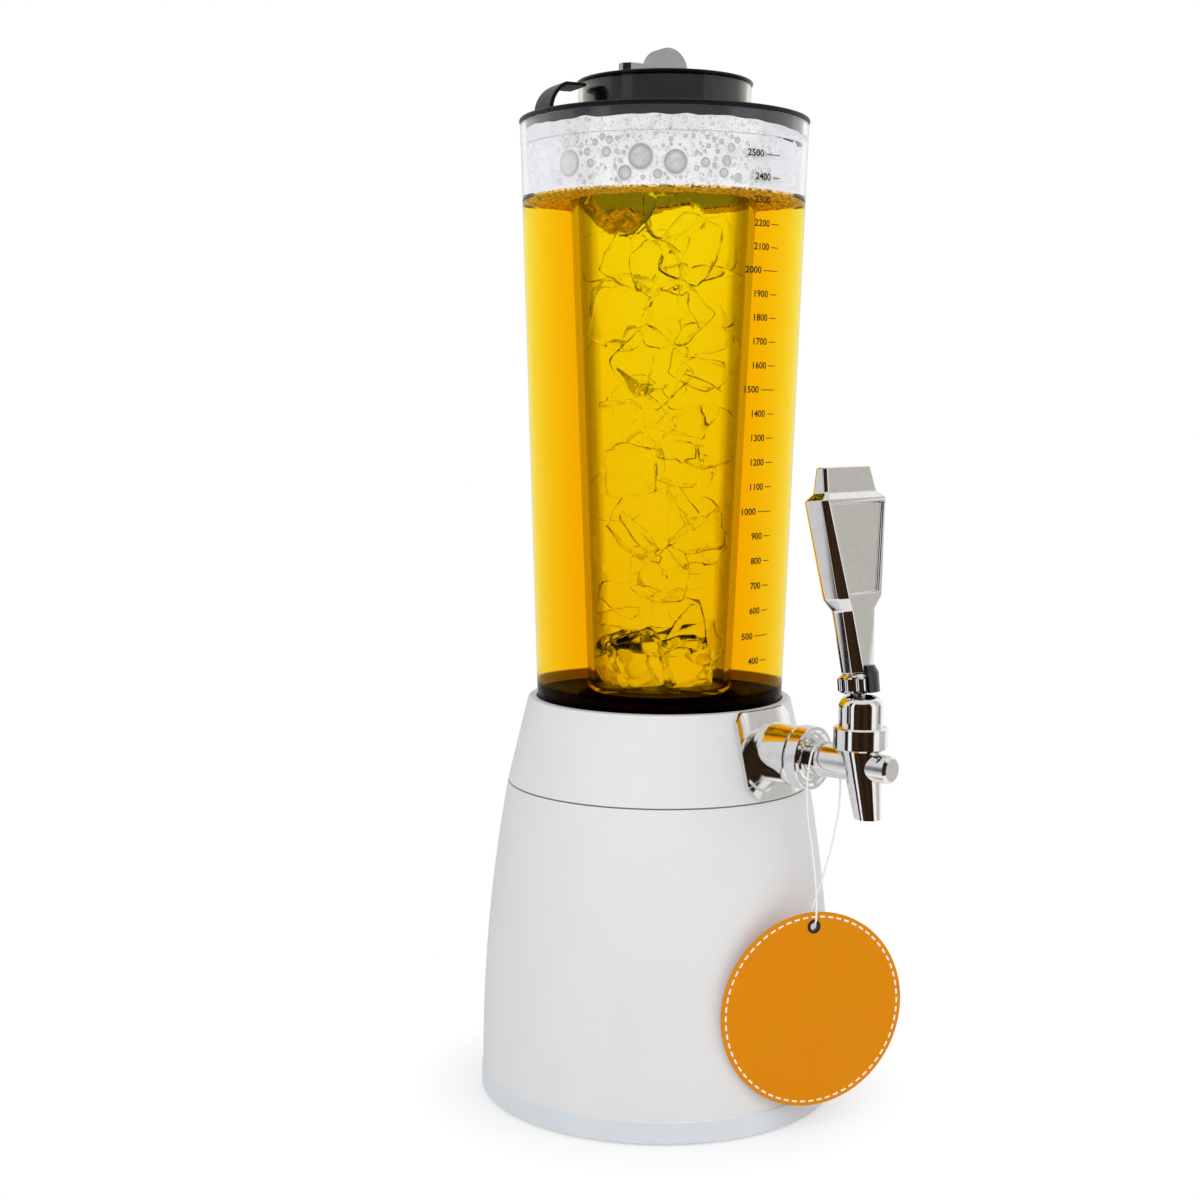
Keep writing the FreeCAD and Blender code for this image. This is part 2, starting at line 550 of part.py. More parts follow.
def reservoir():
    """Black bottom of the container: a sloped shelf round a well, a channel for the wall and a tap duct."""
    body = new_body("reservoir")
    foot = "seam_height + reservoir_foot"
    plug = "container_inner - fit_gap"
    plug_inner = plug + " - channel_wall"
    channel_bottom = "channel_floor - channel_wall"
    channel_top = "collar_top - collar_wall - fit_gap * 2"
    rim = "container_radius + fit_gap"
    under = "shelf_height - shelf_fall - shelf_thickness"
    turned(body, [("0", "well_floor"), ("well_radius", "well_floor"), ("well_radius", "seam_height"),
                  ("reservoir_foot_radius", "seam_height"), ("reservoir_foot_radius", foot),
                  ("well_outer", foot), ("well_outer", under), (plug_inner, under),
                  (plug_inner, channel_bottom), (rim + " + channel_wall", channel_bottom),
                  (rim + " + channel_wall", channel_top), (rim, channel_top), (rim, "channel_floor"),
                  (plug, "channel_floor"), (plug, "shelf_height"),
                  ("well_radius + shelf_fall", "shelf_height - shelf_fall"),
                  ("well_radius", "shelf_height - shelf_fall * 2"), ("well_radius", "well_floor + well_wall"),
                  ("0", "well_floor + well_wall")])
    rod(body, "duct_radius", "boss_reach", "duct_reach", axis="Y", up="tap_height")
    rod(body, "shank_radius + hole_clearance", "shank_start", "duct_reach + fit_gap", cut=True, axis="Y",
        up="tap_height")
    hole_ring(body, "reservoir_screw_circle", "screw_radius + thread_gap", "seam_height", "reservoir_foot",
              reverse=True)
    return keep(body, "reservoir")


def container_gasket():
    """Flat seal in the channel, under the container's edge."""
    body = new_body("container_gasket")
    ring(body, "container_inner", "container_radius", "channel_floor", "container_foot")
    return keep(body, "container_gasket")


def container():
    """Clear wall that widens upwards, straight where it stands in the channel."""
    body = new_body("container")
    rim_inner = "container_rim_radius - container_wall"
    turned(body, [("container_radius", "container_foot"), ("container_radius", "collar_top"),
                  ("container_rim_radius", "container_top - rim_round", "rim_round"),
                  ("container_rim_radius - rim_round", "container_top"), (rim_inner, "container_top"),
                  ("container_inner", "collar_top"), ("container_inner", "container_foot")])
    return keep(body, "container")


def lid():
    """Black lid: rounded rim, skirt inside the container, hole for the tube's neck and an arched strap."""
    body = new_body("lid")
    skirt = "container_rim_radius - container_wall - fit_gap * 2"
    skirt_bottom = "container_top - lid_skirt"
    half = "lid_thickness / 2"
    turned(body, [(skirt + " - lid_skirt_wall", skirt_bottom), (skirt, skirt_bottom),
                  (skirt, "container_top"),
                  ("lid_radius - " + half, "container_top", half),
                  ("lid_radius", "container_top + " + half, half), ("lid_radius - " + half, "lid_top"),
                  ("lid_hole", "lid_top"), ("lid_hole", "container_top"),
                  (skirt + " - lid_skirt_wall", "container_top")])
    top = "lid_top + strap_rise"
    turn_in = "strap_root - strap_shoulder"
    root = "lid_top - strap_thickness / 2"
    arch = outline(new_sketch(body, "XZ_Plane"), [
        ("strap_root", root, "strap_outer_bend"), (turn_in, top), ("strap_end", top),
        ("strap_end", top + " - strap_thickness"), (turn_in, top + " - strap_thickness", "-strap_inner_bend"),
        ("strap_root - strap_foot", root)])
    pad(body, arch, "strap_width", midplane=True)
    return keep(turn_about_tower(body, "strap_angle"), "lid")


def ice_tube():
    """Closed chilling tube: tapered wall, flat shoulder under the lid and a neck through its hole."""
    body = new_body("ice_tube")
    neck_inner = "neck_radius - neck_wall"
    flat = "tube_foot_radius - tube_foot_round"
    bend = "tube_foot + tube_foot_round"
    bead = "neck_radius + bead_width"
    turned(body, [("0", "tube_foot"), (flat, "tube_foot", "tube_foot_round"), ("tube_foot_radius", bend),
                  ("tube_top_radius", "container_top"), ("neck_radius", "container_top"),
                  ("neck_radius", "lid_top"), (bead, "lid_top"), (bead, "lid_top + bead_height / 2"),
                  ("neck_radius", "lid_top + bead_height"), ("neck_radius", "neck_top"),
                  (neck_inner, "neck_top"), (neck_inner, "container_top - tube_wall"),
                  ("tube_top_radius - tube_wall", "container_top - tube_wall - shoulder_drop"),
                  ("tube_foot_radius - tube_wall", bend, "-(tube_foot_round - tube_wall)"),
                  (flat, "tube_foot + tube_wall"), ("0", "tube_foot + tube_wall")])
    return keep(body, "ice_tube")


def tube_cap():
    """Cap that plugs the neck, with a bar and a half-round fin to turn it by."""
    body = new_body("tube_cap")
    plug = "neck_radius - neck_wall - fit_gap * 2"
    plug_inner = plug + " - cap_plug_wall"
    half = "cap_thickness / 2"
    middle = "neck_top + " + half
    plug_bottom = "neck_top - cap_plug_depth"
    turned(body, [("0", "neck_top"), (plug_inner, "neck_top"), (plug_inner, plug_bottom), (plug, plug_bottom),
                  (plug, "neck_top"), ("cap_radius - " + half, "neck_top", half),
                  ("cap_radius", middle, half), ("cap_radius - " + half, "cap_top"), ("0", "cap_top")])
    bar = beveled_box(new_sketch(body, "XY_Plane"), "knob_length", "knob_width", "knob_bevel")
    pad(body, bar, "knob_height + " + half, middle)
    crest = "fin_top - fin_radius"
    fin = outline(new_sketch(body, "XZ_Plane"), [("fin_radius", middle), ("fin_radius", crest, "fin_radius"),
                                                 ("0", "fin_top", "fin_radius"),
                                                 ("-fin_radius", crest), ("-fin_radius", middle)])
    pad(body, fin, "fin_thickness", midplane=True)
    return keep(turn_about_tower(body, "knob_angle"), "tube_cap")


# ---------------------------------------------------------------- tap, fixed pieces

def collar_cone(label, growth):
    """Solid cone of the collar's outer surface, grown sideways."""
    cone = doc.addObject("Part::Cone", label)
    bind(cone, Radius1="shell_top_radius + " + growth, Radius2="collar_top_radius + " + growth,
         Height="collar_height", Placement__Base__z="seam_height")
    return cone


def boolean(kind, label, base, tool):
    result = doc.addObject("Part::" + kind, label)
    result.Base = base
    result.Tool = tool
    return result


def tap_plate():
    """Square plate that hugs the collar's cone behind the tap."""
    body = new_body("tap_plate_blank")
    square = beveled_box(new_sketch(body, "XY_Plane"), "plate_side", "plate_side", "plate_corner")
    pad(body, square, "shell_top_radius + saddle_thickness * 2 - container_inner", "container_inner")
    rod(body, "shank_radius + hole_clearance", "container_inner", "sleeve_end", cut=True)
    along_tap(body)
    outer = boolean("Common", "tap_plate_outer", body, collar_cone("plate_cone", "saddle_thickness"))
    plate = boolean("Cut", "tap_plate", outer, collar_cone("collar_face", "thread_gap"))
    return keep(plate, "tap_plate")


def tap_sleeve():
    """Spacer between plate and ring nut, hollowed to sit on the curved plate."""
    body = new_body("tap_sleeve_blank")
    bore = "shank_radius + hole_clearance"
    start = "collar_top_radius"
    turned(body, [(bore, start), ("sleeve_radius", start), ("sleeve_radius", "sleeve_end - nut_bevel"),
                  ("sleeve_radius - nut_bevel", "sleeve_end"), ("spigot_radius", "sleeve_end"),
                  ("spigot_radius", "sleeve_end + sleeve_spigot"), (bore, "sleeve_end + sleeve_spigot")])
    along_tap(body)
    sleeve = boolean("Cut", "tap_sleeve", body, collar_cone("plate_face", "saddle_thickness + thread_gap"))
    return keep(sleeve, "tap_sleeve")


def tap_shank():
    """Threaded tube from the well through collar, plate and sleeve."""
    body = new_body("tap_shank")
    turned(body, [("shank_bore", "shank_start"), ("shank_radius - nut_bevel", "shank_start"),
                  ("shank_radius", "shank_start + nut_bevel"), ("shank_radius", "shank_end"),
                  ("shank_bore", "shank_end")])
    return keep(along_tap(body), "tap_shank")


def shank_washer():
    body = new_body("shank_washer")
    ring(body, "shank_radius + thread_gap", "lock_nut_flats / 2", "lock_nut_front", "boss_reach")
    return keep(along_tap(body), "shank_washer")


def lock_nut():
    """Hexagonal nut inside the well that pulls the tap against the collar."""
    body = new_body("lock_nut")
    corner = "lock_nut_flats / sqrt(3)"
    hexagon = [["%s * %s(%d deg)" % (corner, part, angle) for part in ("cos", "sin")]
               for angle in range(0, 360, 60)]
    back = "lock_nut_front - lock_nut_thickness"
    pad(body, outline(new_sketch(body, "XY_Plane"), hexagon), "lock_nut_thickness", back)
    rod(body, "shank_radius + thread_gap", back + " - cut_over", "lock_nut_front + cut_over", cut=True)
    return keep(along_tap(body), "lock_nut")


def tail_washer():
    body = new_body("tail_washer")
    ring(body, "shank_bore", "tail_flange_radius", "shank_end", "tail_start")
    return keep(along_tap(body), "tail_washer")


def ring_nut():
    """Coupling nut: a groove in its front face, a web behind it and room for the tail's flange."""
    body = new_body("ring_nut")
    back = "sleeve_end + fit_gap"
    front = "sleeve_end + ring_nut_length"
    web = "tail_start + tail_flange + thread_gap"
    rim = "ring_nut_radius - nut_rim"
    turned(body, [("spigot_radius + fit_gap", back), ("ring_nut_radius - ring_nut_bevel", back),
                  ("ring_nut_radius", back + " + ring_nut_bevel"),
                  ("ring_nut_radius", front + " - ring_nut_bevel / 2"),
                  ("ring_nut_radius - ring_nut_bevel / 2", front), (rim, front),
                  (rim + " - nut_slope", front + " - nut_groove_depth"),
                  (rim + " - nut_slope - nut_groove", front + " - nut_groove_depth"),
                  (rim + " - nut_slope * 2 - nut_groove", front + " - nut_hub_depth"),
                  ("shank_radius + hole_clearance", front + " - nut_hub_depth"),
                  ("shank_radius + hole_clearance", web), ("tail_flange_radius + fit_gap", web),
                  ("tail_flange_radius + fit_gap", "sleeve_end + sleeve_spigot + fit_gap"),
                  ("spigot_radius + fit_gap", "sleeve_end + sleeve_spigot + fit_gap")])
    return keep(along_tap(body), "ring_nut")


def tap_body():
    """Faucet casting: tail, barrel and leaning spout, bored for the plunger, the lever and the outlet."""
    body = new_body("tap_body")
    wide = circle(new_sketch(body, "XY_Plane"), "0", "0", "body_radius")
    bind(wide, AttachmentOffset__Base__z="barrel_rise")
    narrow = circle(new_sketch(body, "XY_Plane"), "0", "-spout_forward", "spout_radius")
    bind(narrow, AttachmentOffset__Base__z="-spout_drop")
    spout = body.newObject("PartDesign::AdditiveLoft", "spout")
    spout.Profile = (wide, [""])
    spout.Sections = [(narrow, [""])]
    rod(body, "tap_neck_radius", "0", "tap_neck_top - tap_height")
    rod(body, "shank_radius", "-tail_length", "0", axis="Y")
    rod(body, "tail_flange_radius", "-tail_length", "tail_flange - tail_length", axis="Y")
    rod(body, "neck_bore", "0", "tap_neck_top - tap_height + cut_over", cut=True)
    rod(body, "chamber_radius", "0", "chamber_rise", cut=True)
    rod(body, "shank_bore", "-tail_length - cut_over", "-seat_back", cut=True, axis="Y")
    rod(body, "guide_bore", "-seat_back - cut_over", "nose_start + cut_over", cut=True, axis="Y")
    rod(body, "nose_radius + thread_gap", "nose_start", "nose_start + nose_length", cut=True, axis="Y")
    inlet = circle(new_sketch(body, "XY_Plane"), "0", "-waterway_forward", "waterway_radius")
    outlet = circle(new_sketch(body, "XY_Plane"), "0", "-spout_forward", "spout_bore")
    bind(outlet, AttachmentOffset__Base__z="-spout_drop")
    waterway = body.newObject("PartDesign::SubtractiveLoft", "waterway")
    waterway.Profile = (inlet, [""])
    waterway.Sections = [(outlet, [""])]
    return keep(at_barrel(body, "tap_height"), "tap_body")


def nose_plug():
    """Front plug of the barrel; its blind bore guides the plunger."""
    body = new_body("nose_plug")
    bore = "plunger_radius + running_gap"
    bore_end = "plunger_front + nose_bevel"
    turned(body, [(bore, "nose_seat"), ("nose_radius", "nose_seat"),
                  ("nose_radius", "nose_reach - nose_bevel"), ("nose_radius - nose_bevel", "nose_reach"),
                  ("0", "nose_reach"), ("0", bore_end), (bore, bore_end)])
    return keep(along_tap(body), "nose_plug")


def bonnet_nut():
    """Wide nut that clamps the bonnet onto the barrel's neck."""
    body = new_body("bonnet_nut")
    bore = "tap_neck_radius + fit_gap"
    turned(body, [(bore, "body_top"), ("bonnet_nut_radius - nut_bevel", "body_top"),
                  ("bonnet_nut_radius", "body_top + nut_bevel"),
                  ("bonnet_nut_radius", "bonnet_nut_top - nut_bevel"),
                  ("bonnet_nut_radius - nut_bevel", "bonnet_nut_top"), (bore, "bonnet_nut_top")])
    return keep(at_barrel(body, "0"), "bonnet_nut")


def bonnet():
    """Slotted sleeve with a rounded shoulder that keeps the lever's ball down."""
    body = new_body("bonnet")
    turned(body, [("tap_neck_radius", "bonnet_nut_top"), ("bonnet_radius", "bonnet_nut_top"),
                  ("bonnet_radius", "bonnet_top - bonnet_shoulder", "bonnet_round"),
                  ("bonnet_opening + bonnet_lip", "bonnet_top"),
                  ("bonnet_opening", "bonnet_top - bonnet_lip"), ("bonnet_opening", "bonnet_cavity_top"),
                  ("tap_neck_radius", "bonnet_cavity_top")])
    slot_bottom = "bonnet_nut_top + slot_start"
    slot_top = slot_bottom + " + slot_height"
    groove = outline(new_sketch(body, "XZ_Plane"), [
        ("-slot_width / 2", slot_bottom), ("slot_width / 2", slot_bottom),
        ("slot_width / 2", slot_top), ("-slot_width / 2", slot_top)])
    cut = pocket(body, groove, "bonnet_radius", "bonnet_radius - slot_depth", reverse=True)
    spread(body, cut, COUNTS["slots"])
    return keep(at_barrel(body, "0"), "bonnet")


def ball_washer():
    """Soft ring on the barrel's neck, round the ball's waist."""
    body = new_body("ball_washer")
    top = "tap_neck_top + ball_washer_thickness"
    ring(body, "ball_radius + fit_gap", "tap_neck_radius", "tap_neck_top", top)
    return keep(at_barrel(body, "0"), "ball_washer")


def friction_ring():
    """Plastic ring with a ball-shaped seat, pressed down by the bonnet."""
    body = new_body("friction_ring")
    seat = "(ball_radius + fit_gap)"
    outer = "tap_neck_radius - thread_gap"
    low, high = "friction_ring_start", "bonnet_cavity"
    wide, narrow = ["sqrt(%s * %s - %s * %s)" % (seat, seat, height, height) for height in (low, high)]
    turned(body, [(wide, low), (outer, low), (outer, high), (narrow, high, "-" + seat)])
    return keep(at_barrel(body, "pivot_height"), "friction_ring")


# ---------------------------------------------------------------- tap, moving pieces

def plunger():
    """Valve rod with a slotted yoke for the lever's tip."""
    body = new_body("plunger")
    middle = "barrel_reach + lever_tip * sin(1 deg * handle_lean)"
    rod(body, "plunger_radius", "plunger_back", "plunger_front")
    rod(body, "yoke_radius", middle + " - yoke_length / 2", middle + " + yoke_length / 2")
    slot_floor = "-lever_tip_radius / 2"
    slot = outline(new_sketch(body, "XY_Plane"), [
        ("-yoke_radius", slot_floor), ("yoke_radius", slot_floor), ("yoke_radius", "yoke_radius * 2"),
        ("-yoke_radius", "yoke_radius * 2")])
    pocket(body, slot, "yoke_slot", middle + " - yoke_slot / 2", reverse=True)
    return keep(along_tap(body), "plunger")


def plunger_seal():
    """Rubber disc on the rod's back end that closes the seat."""
    body = new_body("plunger_seal")
    front = "seat_reach - fit_gap"
    ring(body, "plunger_radius", "seal_radius", front + " - seal_thickness", front)
    return keep(along_tap(body), "plunger_seal")


def lever():
    """Ball lever: a threaded neck above, a thin rod with a small ball below."""
    body = new_body("lever")
    rod(body, "lever_neck_radius", "0", "lever_thread_end")
    rod(body, "lever_rod_radius", "-lever_tip", "0")
    for radius, height in (("ball_radius", "0"), ("lever_tip_radius", "-lever_tip")):
        ball = body.newObject("PartDesign::AdditiveSphere", "lever_ball")
        bind(ball, Radius=radius, Placement__Base__z=height)
    return keep(on_lever(body), "lever")


def ferrule():
    """Lobed ring between bonnet and stem, open at its front for the stop pad."""
    body = new_body("ferrule")
    bore = "lever_neck_radius + thread_gap"
    low = "ferrule_bottom + nut_bevel"
    high = "ferrule_top - nut_bevel * 2"
    turned(body, [(bore, "ferrule_bottom"), ("ferrule_radius - nut_bevel", "ferrule_bottom"),
                  ("ferrule_radius", low), ("ferrule_radius", high),
                  ("ferrule_radius - nut_bevel * 2", "ferrule_top"), (bore, "ferrule_top")])
    lobe = turned(body, [("0", low), ("lobe_radius - nut_bevel", low), ("lobe_radius", low + " + nut_bevel"),
                         ("lobe_radius", high + " - nut_bevel"), ("lobe_radius - nut_bevel", high),
                         ("0", high)],
                  axis_at="ferrule_radius + lobe_proud - lobe_radius")
    spread(body, lobe, COUNTS["lobes"])
    notch = outline(new_sketch(body, "XY_Plane"), pad_sector("fit_gap"))
    pocket(body, notch, "ferrule_height * 2", "ferrule_bottom - cut_over", reverse=True)
    return keep(on_lever(body), "ferrule")


def pad_sector(grow):
    """Corners of the wedge that the stop pad fills, seen from above and grown by a clearance."""
    back = "%s - stem_foot_depth / 2" % grow
    front = "-(pad_radius + pad_proud * 2)"
    half_back = "(pad_back_width / 2 + %s)" % grow
    half_front = "(pad_front_width / 2 + %s)" % grow
    return [("-" + half_back, back), ("-" + half_front, front), (half_front, front), (half_back, back)]


def stop_pad():
    """Black block in the ferrule's front that ends the lever's stroke."""
    body = new_body("stop_pad")
    bottom = "ferrule_bottom + running_gap * 2"
    wedge = outline(new_sketch(body, "XY_Plane"), pad_sector("0"))
    pad(body, wedge, "ferrule_height + pad_rise", bottom)
    top = "ferrule_top + pad_rise + cut_over"
    rim = turned(body, [("pad_radius", bottom + " - cut_over"), ("pad_radius * 2", bottom + " - cut_over"),
                        ("pad_radius * 2", top), ("pad_radius - pad_lean", top),
                        ("pad_radius", "ferrule_top")],
                 groove=True)
    body.Tip = rim
    return keep(on_lever(body), "stop_pad")


def handle():
    """Chromed handle: flared stem, trapezoid head with a sunk panel, a sloping brow and a crown block."""
    body = new_body("handle")
    loft_through(body, (("ferrule_top", "stem_foot_width", "stem_foot_depth", "stem_foot_bevel"),
                        ("stem_top", "stem_top_width", "stem_top_depth", "stem_top_bevel"),
                        ("head_bottom", "head_bottom_width", "head_bottom_depth", "head_bottom_bevel"),
                        ("head_top", "head_top_width", "head_top_depth", "head_top_bevel"),
                        ("crown_foot", "crown_foot_width", "crown_foot_depth", "crown_bevel"),
                        ("crown_top", "crown_top_width", "crown_top_depth", "crown_bevel")))
    panel = new_sketch(body, "XZ_Plane")
    tilt = "atan((head_bottom_depth - head_top_depth) / 2 / head_length)"
    low, high = "panel_margin - head_length / 2", "head_length / 2 - panel_margin"
    low_half, high_half = ["(head_%s_width / 2 - head_%s_bevel - panel_margin)" % (end, end)
                           for end in ("bottom", "top")]
    outline(panel, [("-" + low_half, low), (low_half, low), (high_half, high), ("-" + high_half, high)])
    bind(panel, AttachmentOffset__Base__y="(head_bottom + head_top) / 2",
         AttachmentOffset__Base__z="(head_bottom_depth + head_top_depth) / 4 - panel_depth")
    panel.AttachmentOffset = FreeCAD.Placement(panel.AttachmentOffset.Base,
                                               FreeCAD.Rotation(V(1, 0, 0), -mm(tilt)))
    pocket(body, panel, "panel_depth * 4", reverse=True)
    rod(body, "lever_neck_radius + thread_gap", "ferrule_top - cut_over", "lever_thread_end + fit_gap",
        cut=True)
    return keep(on_lever(body), "handle")


def loft_through(body, stations):
    """Straight-sided loft through beveled boxes at rising heights."""
    sections = []
    for height, width, depth, bevel in stations:
        sketch = beveled_box(new_sketch(body, "XY_Plane"), width, depth, bevel)
        bind(sketch, AttachmentOffset__Base__z=height)
        sections.append(sketch)
    loft = body.newObject("PartDesign::AdditiveLoft", body.Name + "_loft")
    loft.Profile = (sections[0], [""])
    loft.Sections = [(section, [""]) for section in sections[1:]]
    loft.Ruled = True
    return loft


# ---------------------------------------------------------------- hang tag

def beside_tag(body):
    """Turn a piece made along Z to the tag's facing, at the tag's place below the tap."""
    turn = math.radians(mm("tag_angle"))
    facing = V(math.sin(turn), -math.cos(turn), 0)
    along = V(math.cos(turn), math.sin(turn), 0)
    place = V(0, -mm("tag_reach"), mm("tag_centre")) + along * mm("tag_shift")
    body.Placement = FreeCAD.Placement(place, FreeCAD.Rotation(along, UP, facing, "XYZ"))
    return body


def hang_tag():
    """Round card with a hole near its upper edge."""
    body = new_body("hang_tag")
    ring(body, "0", "tag_radius", "0", "tag_thickness")
    hole = circle(new_sketch(body, "XY_Plane"), "0", "tag_hole_rise", "eyelet_radius - eyelet_lip")
    pocket(body, hole, "tag_thickness * 3", "-tag_thickness", reverse=True)
    return keep(beside_tag(body), "hang_tag")


def tag_eyelet():
    """Rolled grommet in the card's hole."""
    body = new_body("tag_eyelet")
    high = "tag_thickness + eyelet_lip"
    waist = "eyelet_radius - eyelet_lip - thread_gap"
    turned(body, [("eyelet_bore", "-eyelet_lip"), ("eyelet_radius", "-eyelet_lip"), ("eyelet_radius", "0"),
                  (waist, "0"), (waist, "tag_thickness"), ("eyelet_radius", "tag_thickness"),
                  ("eyelet_radius", high), ("eyelet_bore", high)])
    beside_tag(body)
    body.Placement.Base = body.Placement.Base + UP * mm("tag_hole_rise")
    return keep(body, "tag_eyelet")


def rounded_route(points):
    """Straight runs joined by tangent arcs, each as large as its two shorter half runs allow."""
    edges, radii = [], []
    start = points[0]
    for before, corner, after in zip(points, points[1:], points[2:]):
        arriving, leaving = corner - before, after - corner
        turn = arriving.getAngle(leaving)
        cut = BEND_SHARE * min(arriving.Length, leaving.Length)
        radii.append(cut / math.tan(turn / 2))
        entry = corner - arriving.normalize() * cut
        exit_point = corner + leaving.normalize() * cut
        bend = entry + (exit_point - entry) * 0.5
        centre_way = (bend - corner).normalize()
        middle = corner + centre_way * (radii[-1] / math.cos(turn / 2) - radii[-1])
        edges.append(Part.LineSegment(start, entry).toShape())
        edges.append(Part.Arc(entry, middle, exit_point).toShape())
        start = exit_point
    edges.append(Part.LineSegment(start, points[-1]).toShape())
    return Part.Wire(edges), radii


def tag_string():
    """Thin loose loop from the eyelet round the tap's tail."""
    anchor = V(0, -mm("tag_reach"), mm("tap_height"))
    points = [anchor + V(*point) for point in STRING_ROUTE]
    route, radii = rounded_route(points)
    along = route.Edges[0].tangentAt(route.Edges[0].FirstParameter)
    section = Part.Wire([Part.Circle(points[0], along, mm("string_radius")).toShape()])
    tube = route.makePipeShell([section], True, True)
    print("string: length %.1f, bends %s" % (route.Length, " ".join("%.1f" % radius for radius in radii)))
    expected = math.pi * mm("string_radius") ** 2 * route.Length
    print("string: volume %.3f against %.3f" % (tube.Volume, expected))
    string = doc.addObject("Part::Feature", "tag_string")
    string.Shape = tube
    string.Placement = FreeCAD.Placement()
    return keep(string, "tag_string")


# ---------------------------------------------------------------- build, check and write

def build_all():
    for make in (foot_ring, base_ring, base_plate, base_screws, base_shell, deck_screws, collar, reservoir,
                 container_gasket, container, lid, ice_tube, tube_cap, tap_plate, tap_sleeve, tap_shank,
                 shank_washer, lock_nut, tail_washer, ring_nut, tap_body, nose_plug, bonnet_nut, bonnet,
                 ball_washer, friction_ring, plunger, plunger_seal, lever, ferrule, stop_pad, handle,
                 hang_tag, tag_eyelet, tag_string):
        make()
    doc.recompute()


def check_all():
    """Stop if any object failed or any sub-part isn't a sound solid."""
    for thing in doc.Objects:
        if "Invalid" in thing.State or "Error" in thing.State:
            raise ValueError("%s failed: %s" % (thing.Label, thing.State))
    for node in nodes:
        shape = node.Shape
        if shape.isNull() or not shape.isValid() or not shape.Solids:
            raise ValueError("%s has no valid solid" % node.Label)


def write_all():
    os.makedirs("parts", exist_ok=True)
    for node in nodes:
        node.Shape.exportStep("parts/%s.step" % node.Label)
        box = node.Shape.BoundBox
        print("%-18s solids %d  volume %10.1f  x %7.2f %7.2f  y %7.2f %7.2f  z %7.2f %7.2f" % (
            node.Label, len(node.Shape.Solids), node.Shape.Volume,
            box.XMin, box.XMax, box.YMin, box.YMax, box.ZMin, box.ZMax))


build_all()
check_all()
write_all()
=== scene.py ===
import math
import random

import bmesh
import bpy
from mathutils import Matrix, Vector, noise


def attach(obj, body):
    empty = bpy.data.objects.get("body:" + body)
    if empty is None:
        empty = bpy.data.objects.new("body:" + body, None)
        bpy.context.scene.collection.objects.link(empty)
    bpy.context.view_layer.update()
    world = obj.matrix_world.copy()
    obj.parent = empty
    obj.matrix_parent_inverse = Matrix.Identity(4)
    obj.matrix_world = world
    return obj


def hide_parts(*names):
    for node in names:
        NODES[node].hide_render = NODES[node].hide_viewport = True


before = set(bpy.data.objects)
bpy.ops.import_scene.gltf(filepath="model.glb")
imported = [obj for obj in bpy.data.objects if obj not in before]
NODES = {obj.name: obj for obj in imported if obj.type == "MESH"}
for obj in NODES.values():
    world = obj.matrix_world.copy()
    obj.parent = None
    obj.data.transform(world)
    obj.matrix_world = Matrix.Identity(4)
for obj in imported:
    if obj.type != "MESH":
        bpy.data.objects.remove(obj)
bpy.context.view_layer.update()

MM = 0.001

# ---------------------------------------------------------------- sizes shared with the CAD model, in mm

WALL, TUBE_WALL = 2.5, 2.0                      # walls of the container and of the chilling tube
FOOT_INNER, RIM_INNER = 61.4, 71.0              # container's inside radii
COLLAR_TOP, RIM_Z = 208.9, 501.7                # heights between which the container widens
TUBE_FOOT_Z, TUBE_ROUND = 212.0, 4.0            # chilling tube's foot, and the rounding of its edge
TUBE_FOOT_R, TUBE_TOP_R = 36.0, 47.2            # chilling tube's outside radii
SHELF_Z, WELL_R, WELL_Z = 211.0, 41.0, 174.5    # reservoir's shelf, and the well in it
BEER_TOP = 464.0
OVERLAP = 0.12                                  # how far liquid reaches into the walls it wets
CAMERA_TURN = 48.0                              # degrees from the tap's direction to the photo's side


def inner_radius(z):
    """Inside of the container's wall."""
    share = max(0.0, z - COLLAR_TOP) / (RIM_Z - COLLAR_TOP)
    return FOOT_INNER + (RIM_INNER - FOOT_INNER) * share


def tube_radius(z):
    """Outside of the chilling tube above its rounded foot."""
    share = (z - TUBE_FOOT_Z - TUBE_ROUND) / (RIM_Z - TUBE_FOOT_Z - TUBE_ROUND)
    return TUBE_FOOT_R + (TUBE_TOP_R - TUBE_FOOT_R) * max(0.0, share)


# ---------------------------------------------------------------- mesh helpers

ALL_SMOOTH = 180.0              # crease angle in degrees that leaves no edge sharp


def link(name, data):
    piece = bpy.data.objects.new(name, data)
    bpy.context.scene.collection.objects.link(piece)
    return piece


def from_bmesh(name, form, crease=40.0):
    """Object made of form, shaded smooth but for edges that bend more than crease degrees."""
    mesh = bpy.data.meshes.new(name)
    bmesh.ops.recalc_face_normals(form, faces=form.faces)
    form.to_mesh(mesh)
    form.free()
    for face in mesh.polygons:
        face.use_smooth = True
    mesh.set_sharp_from_angle(angle=math.radians(crease))
    return link(name, mesh)


def bridge(form, first, second):
    """Faces between two closed rings of vertices; one of them may be a single vertex."""
    segments = max(len(first), len(second))
    for step in range(segments):
        after = (step + 1) % segments
        corners = [first[step % len(first)], first[after % len(first)],
                   second[after % len(second)], second[step % len(second)]]
        form.faces.new(list(dict.fromkeys(corners)))


def revolve(name, profile, segments, ripple=None):
    """Closed profile of (radius, height) in mm turned about the tower's axis; ripple moves its points."""
    form = bmesh.new()
    rings = []
    for radius, height in profile:
        if radius == 0:
            rings.append([form.verts.new((0, 0, height * MM))])
            continue
        ring = []
        for step in range(segments):
            angle = math.tau * step / segments
            at = Vector((radius * math.cos(angle), radius * math.sin(angle), height))
            ring.append(form.verts.new((ripple(at) if ripple else at) * MM))
        rings.append(ring)
    for low, high in zip(rings, rings[1:] + rings[:1]):
        if len(low) > 1 or len(high) > 1:
            bridge(form, low, high)
    return from_bmesh(name, form)


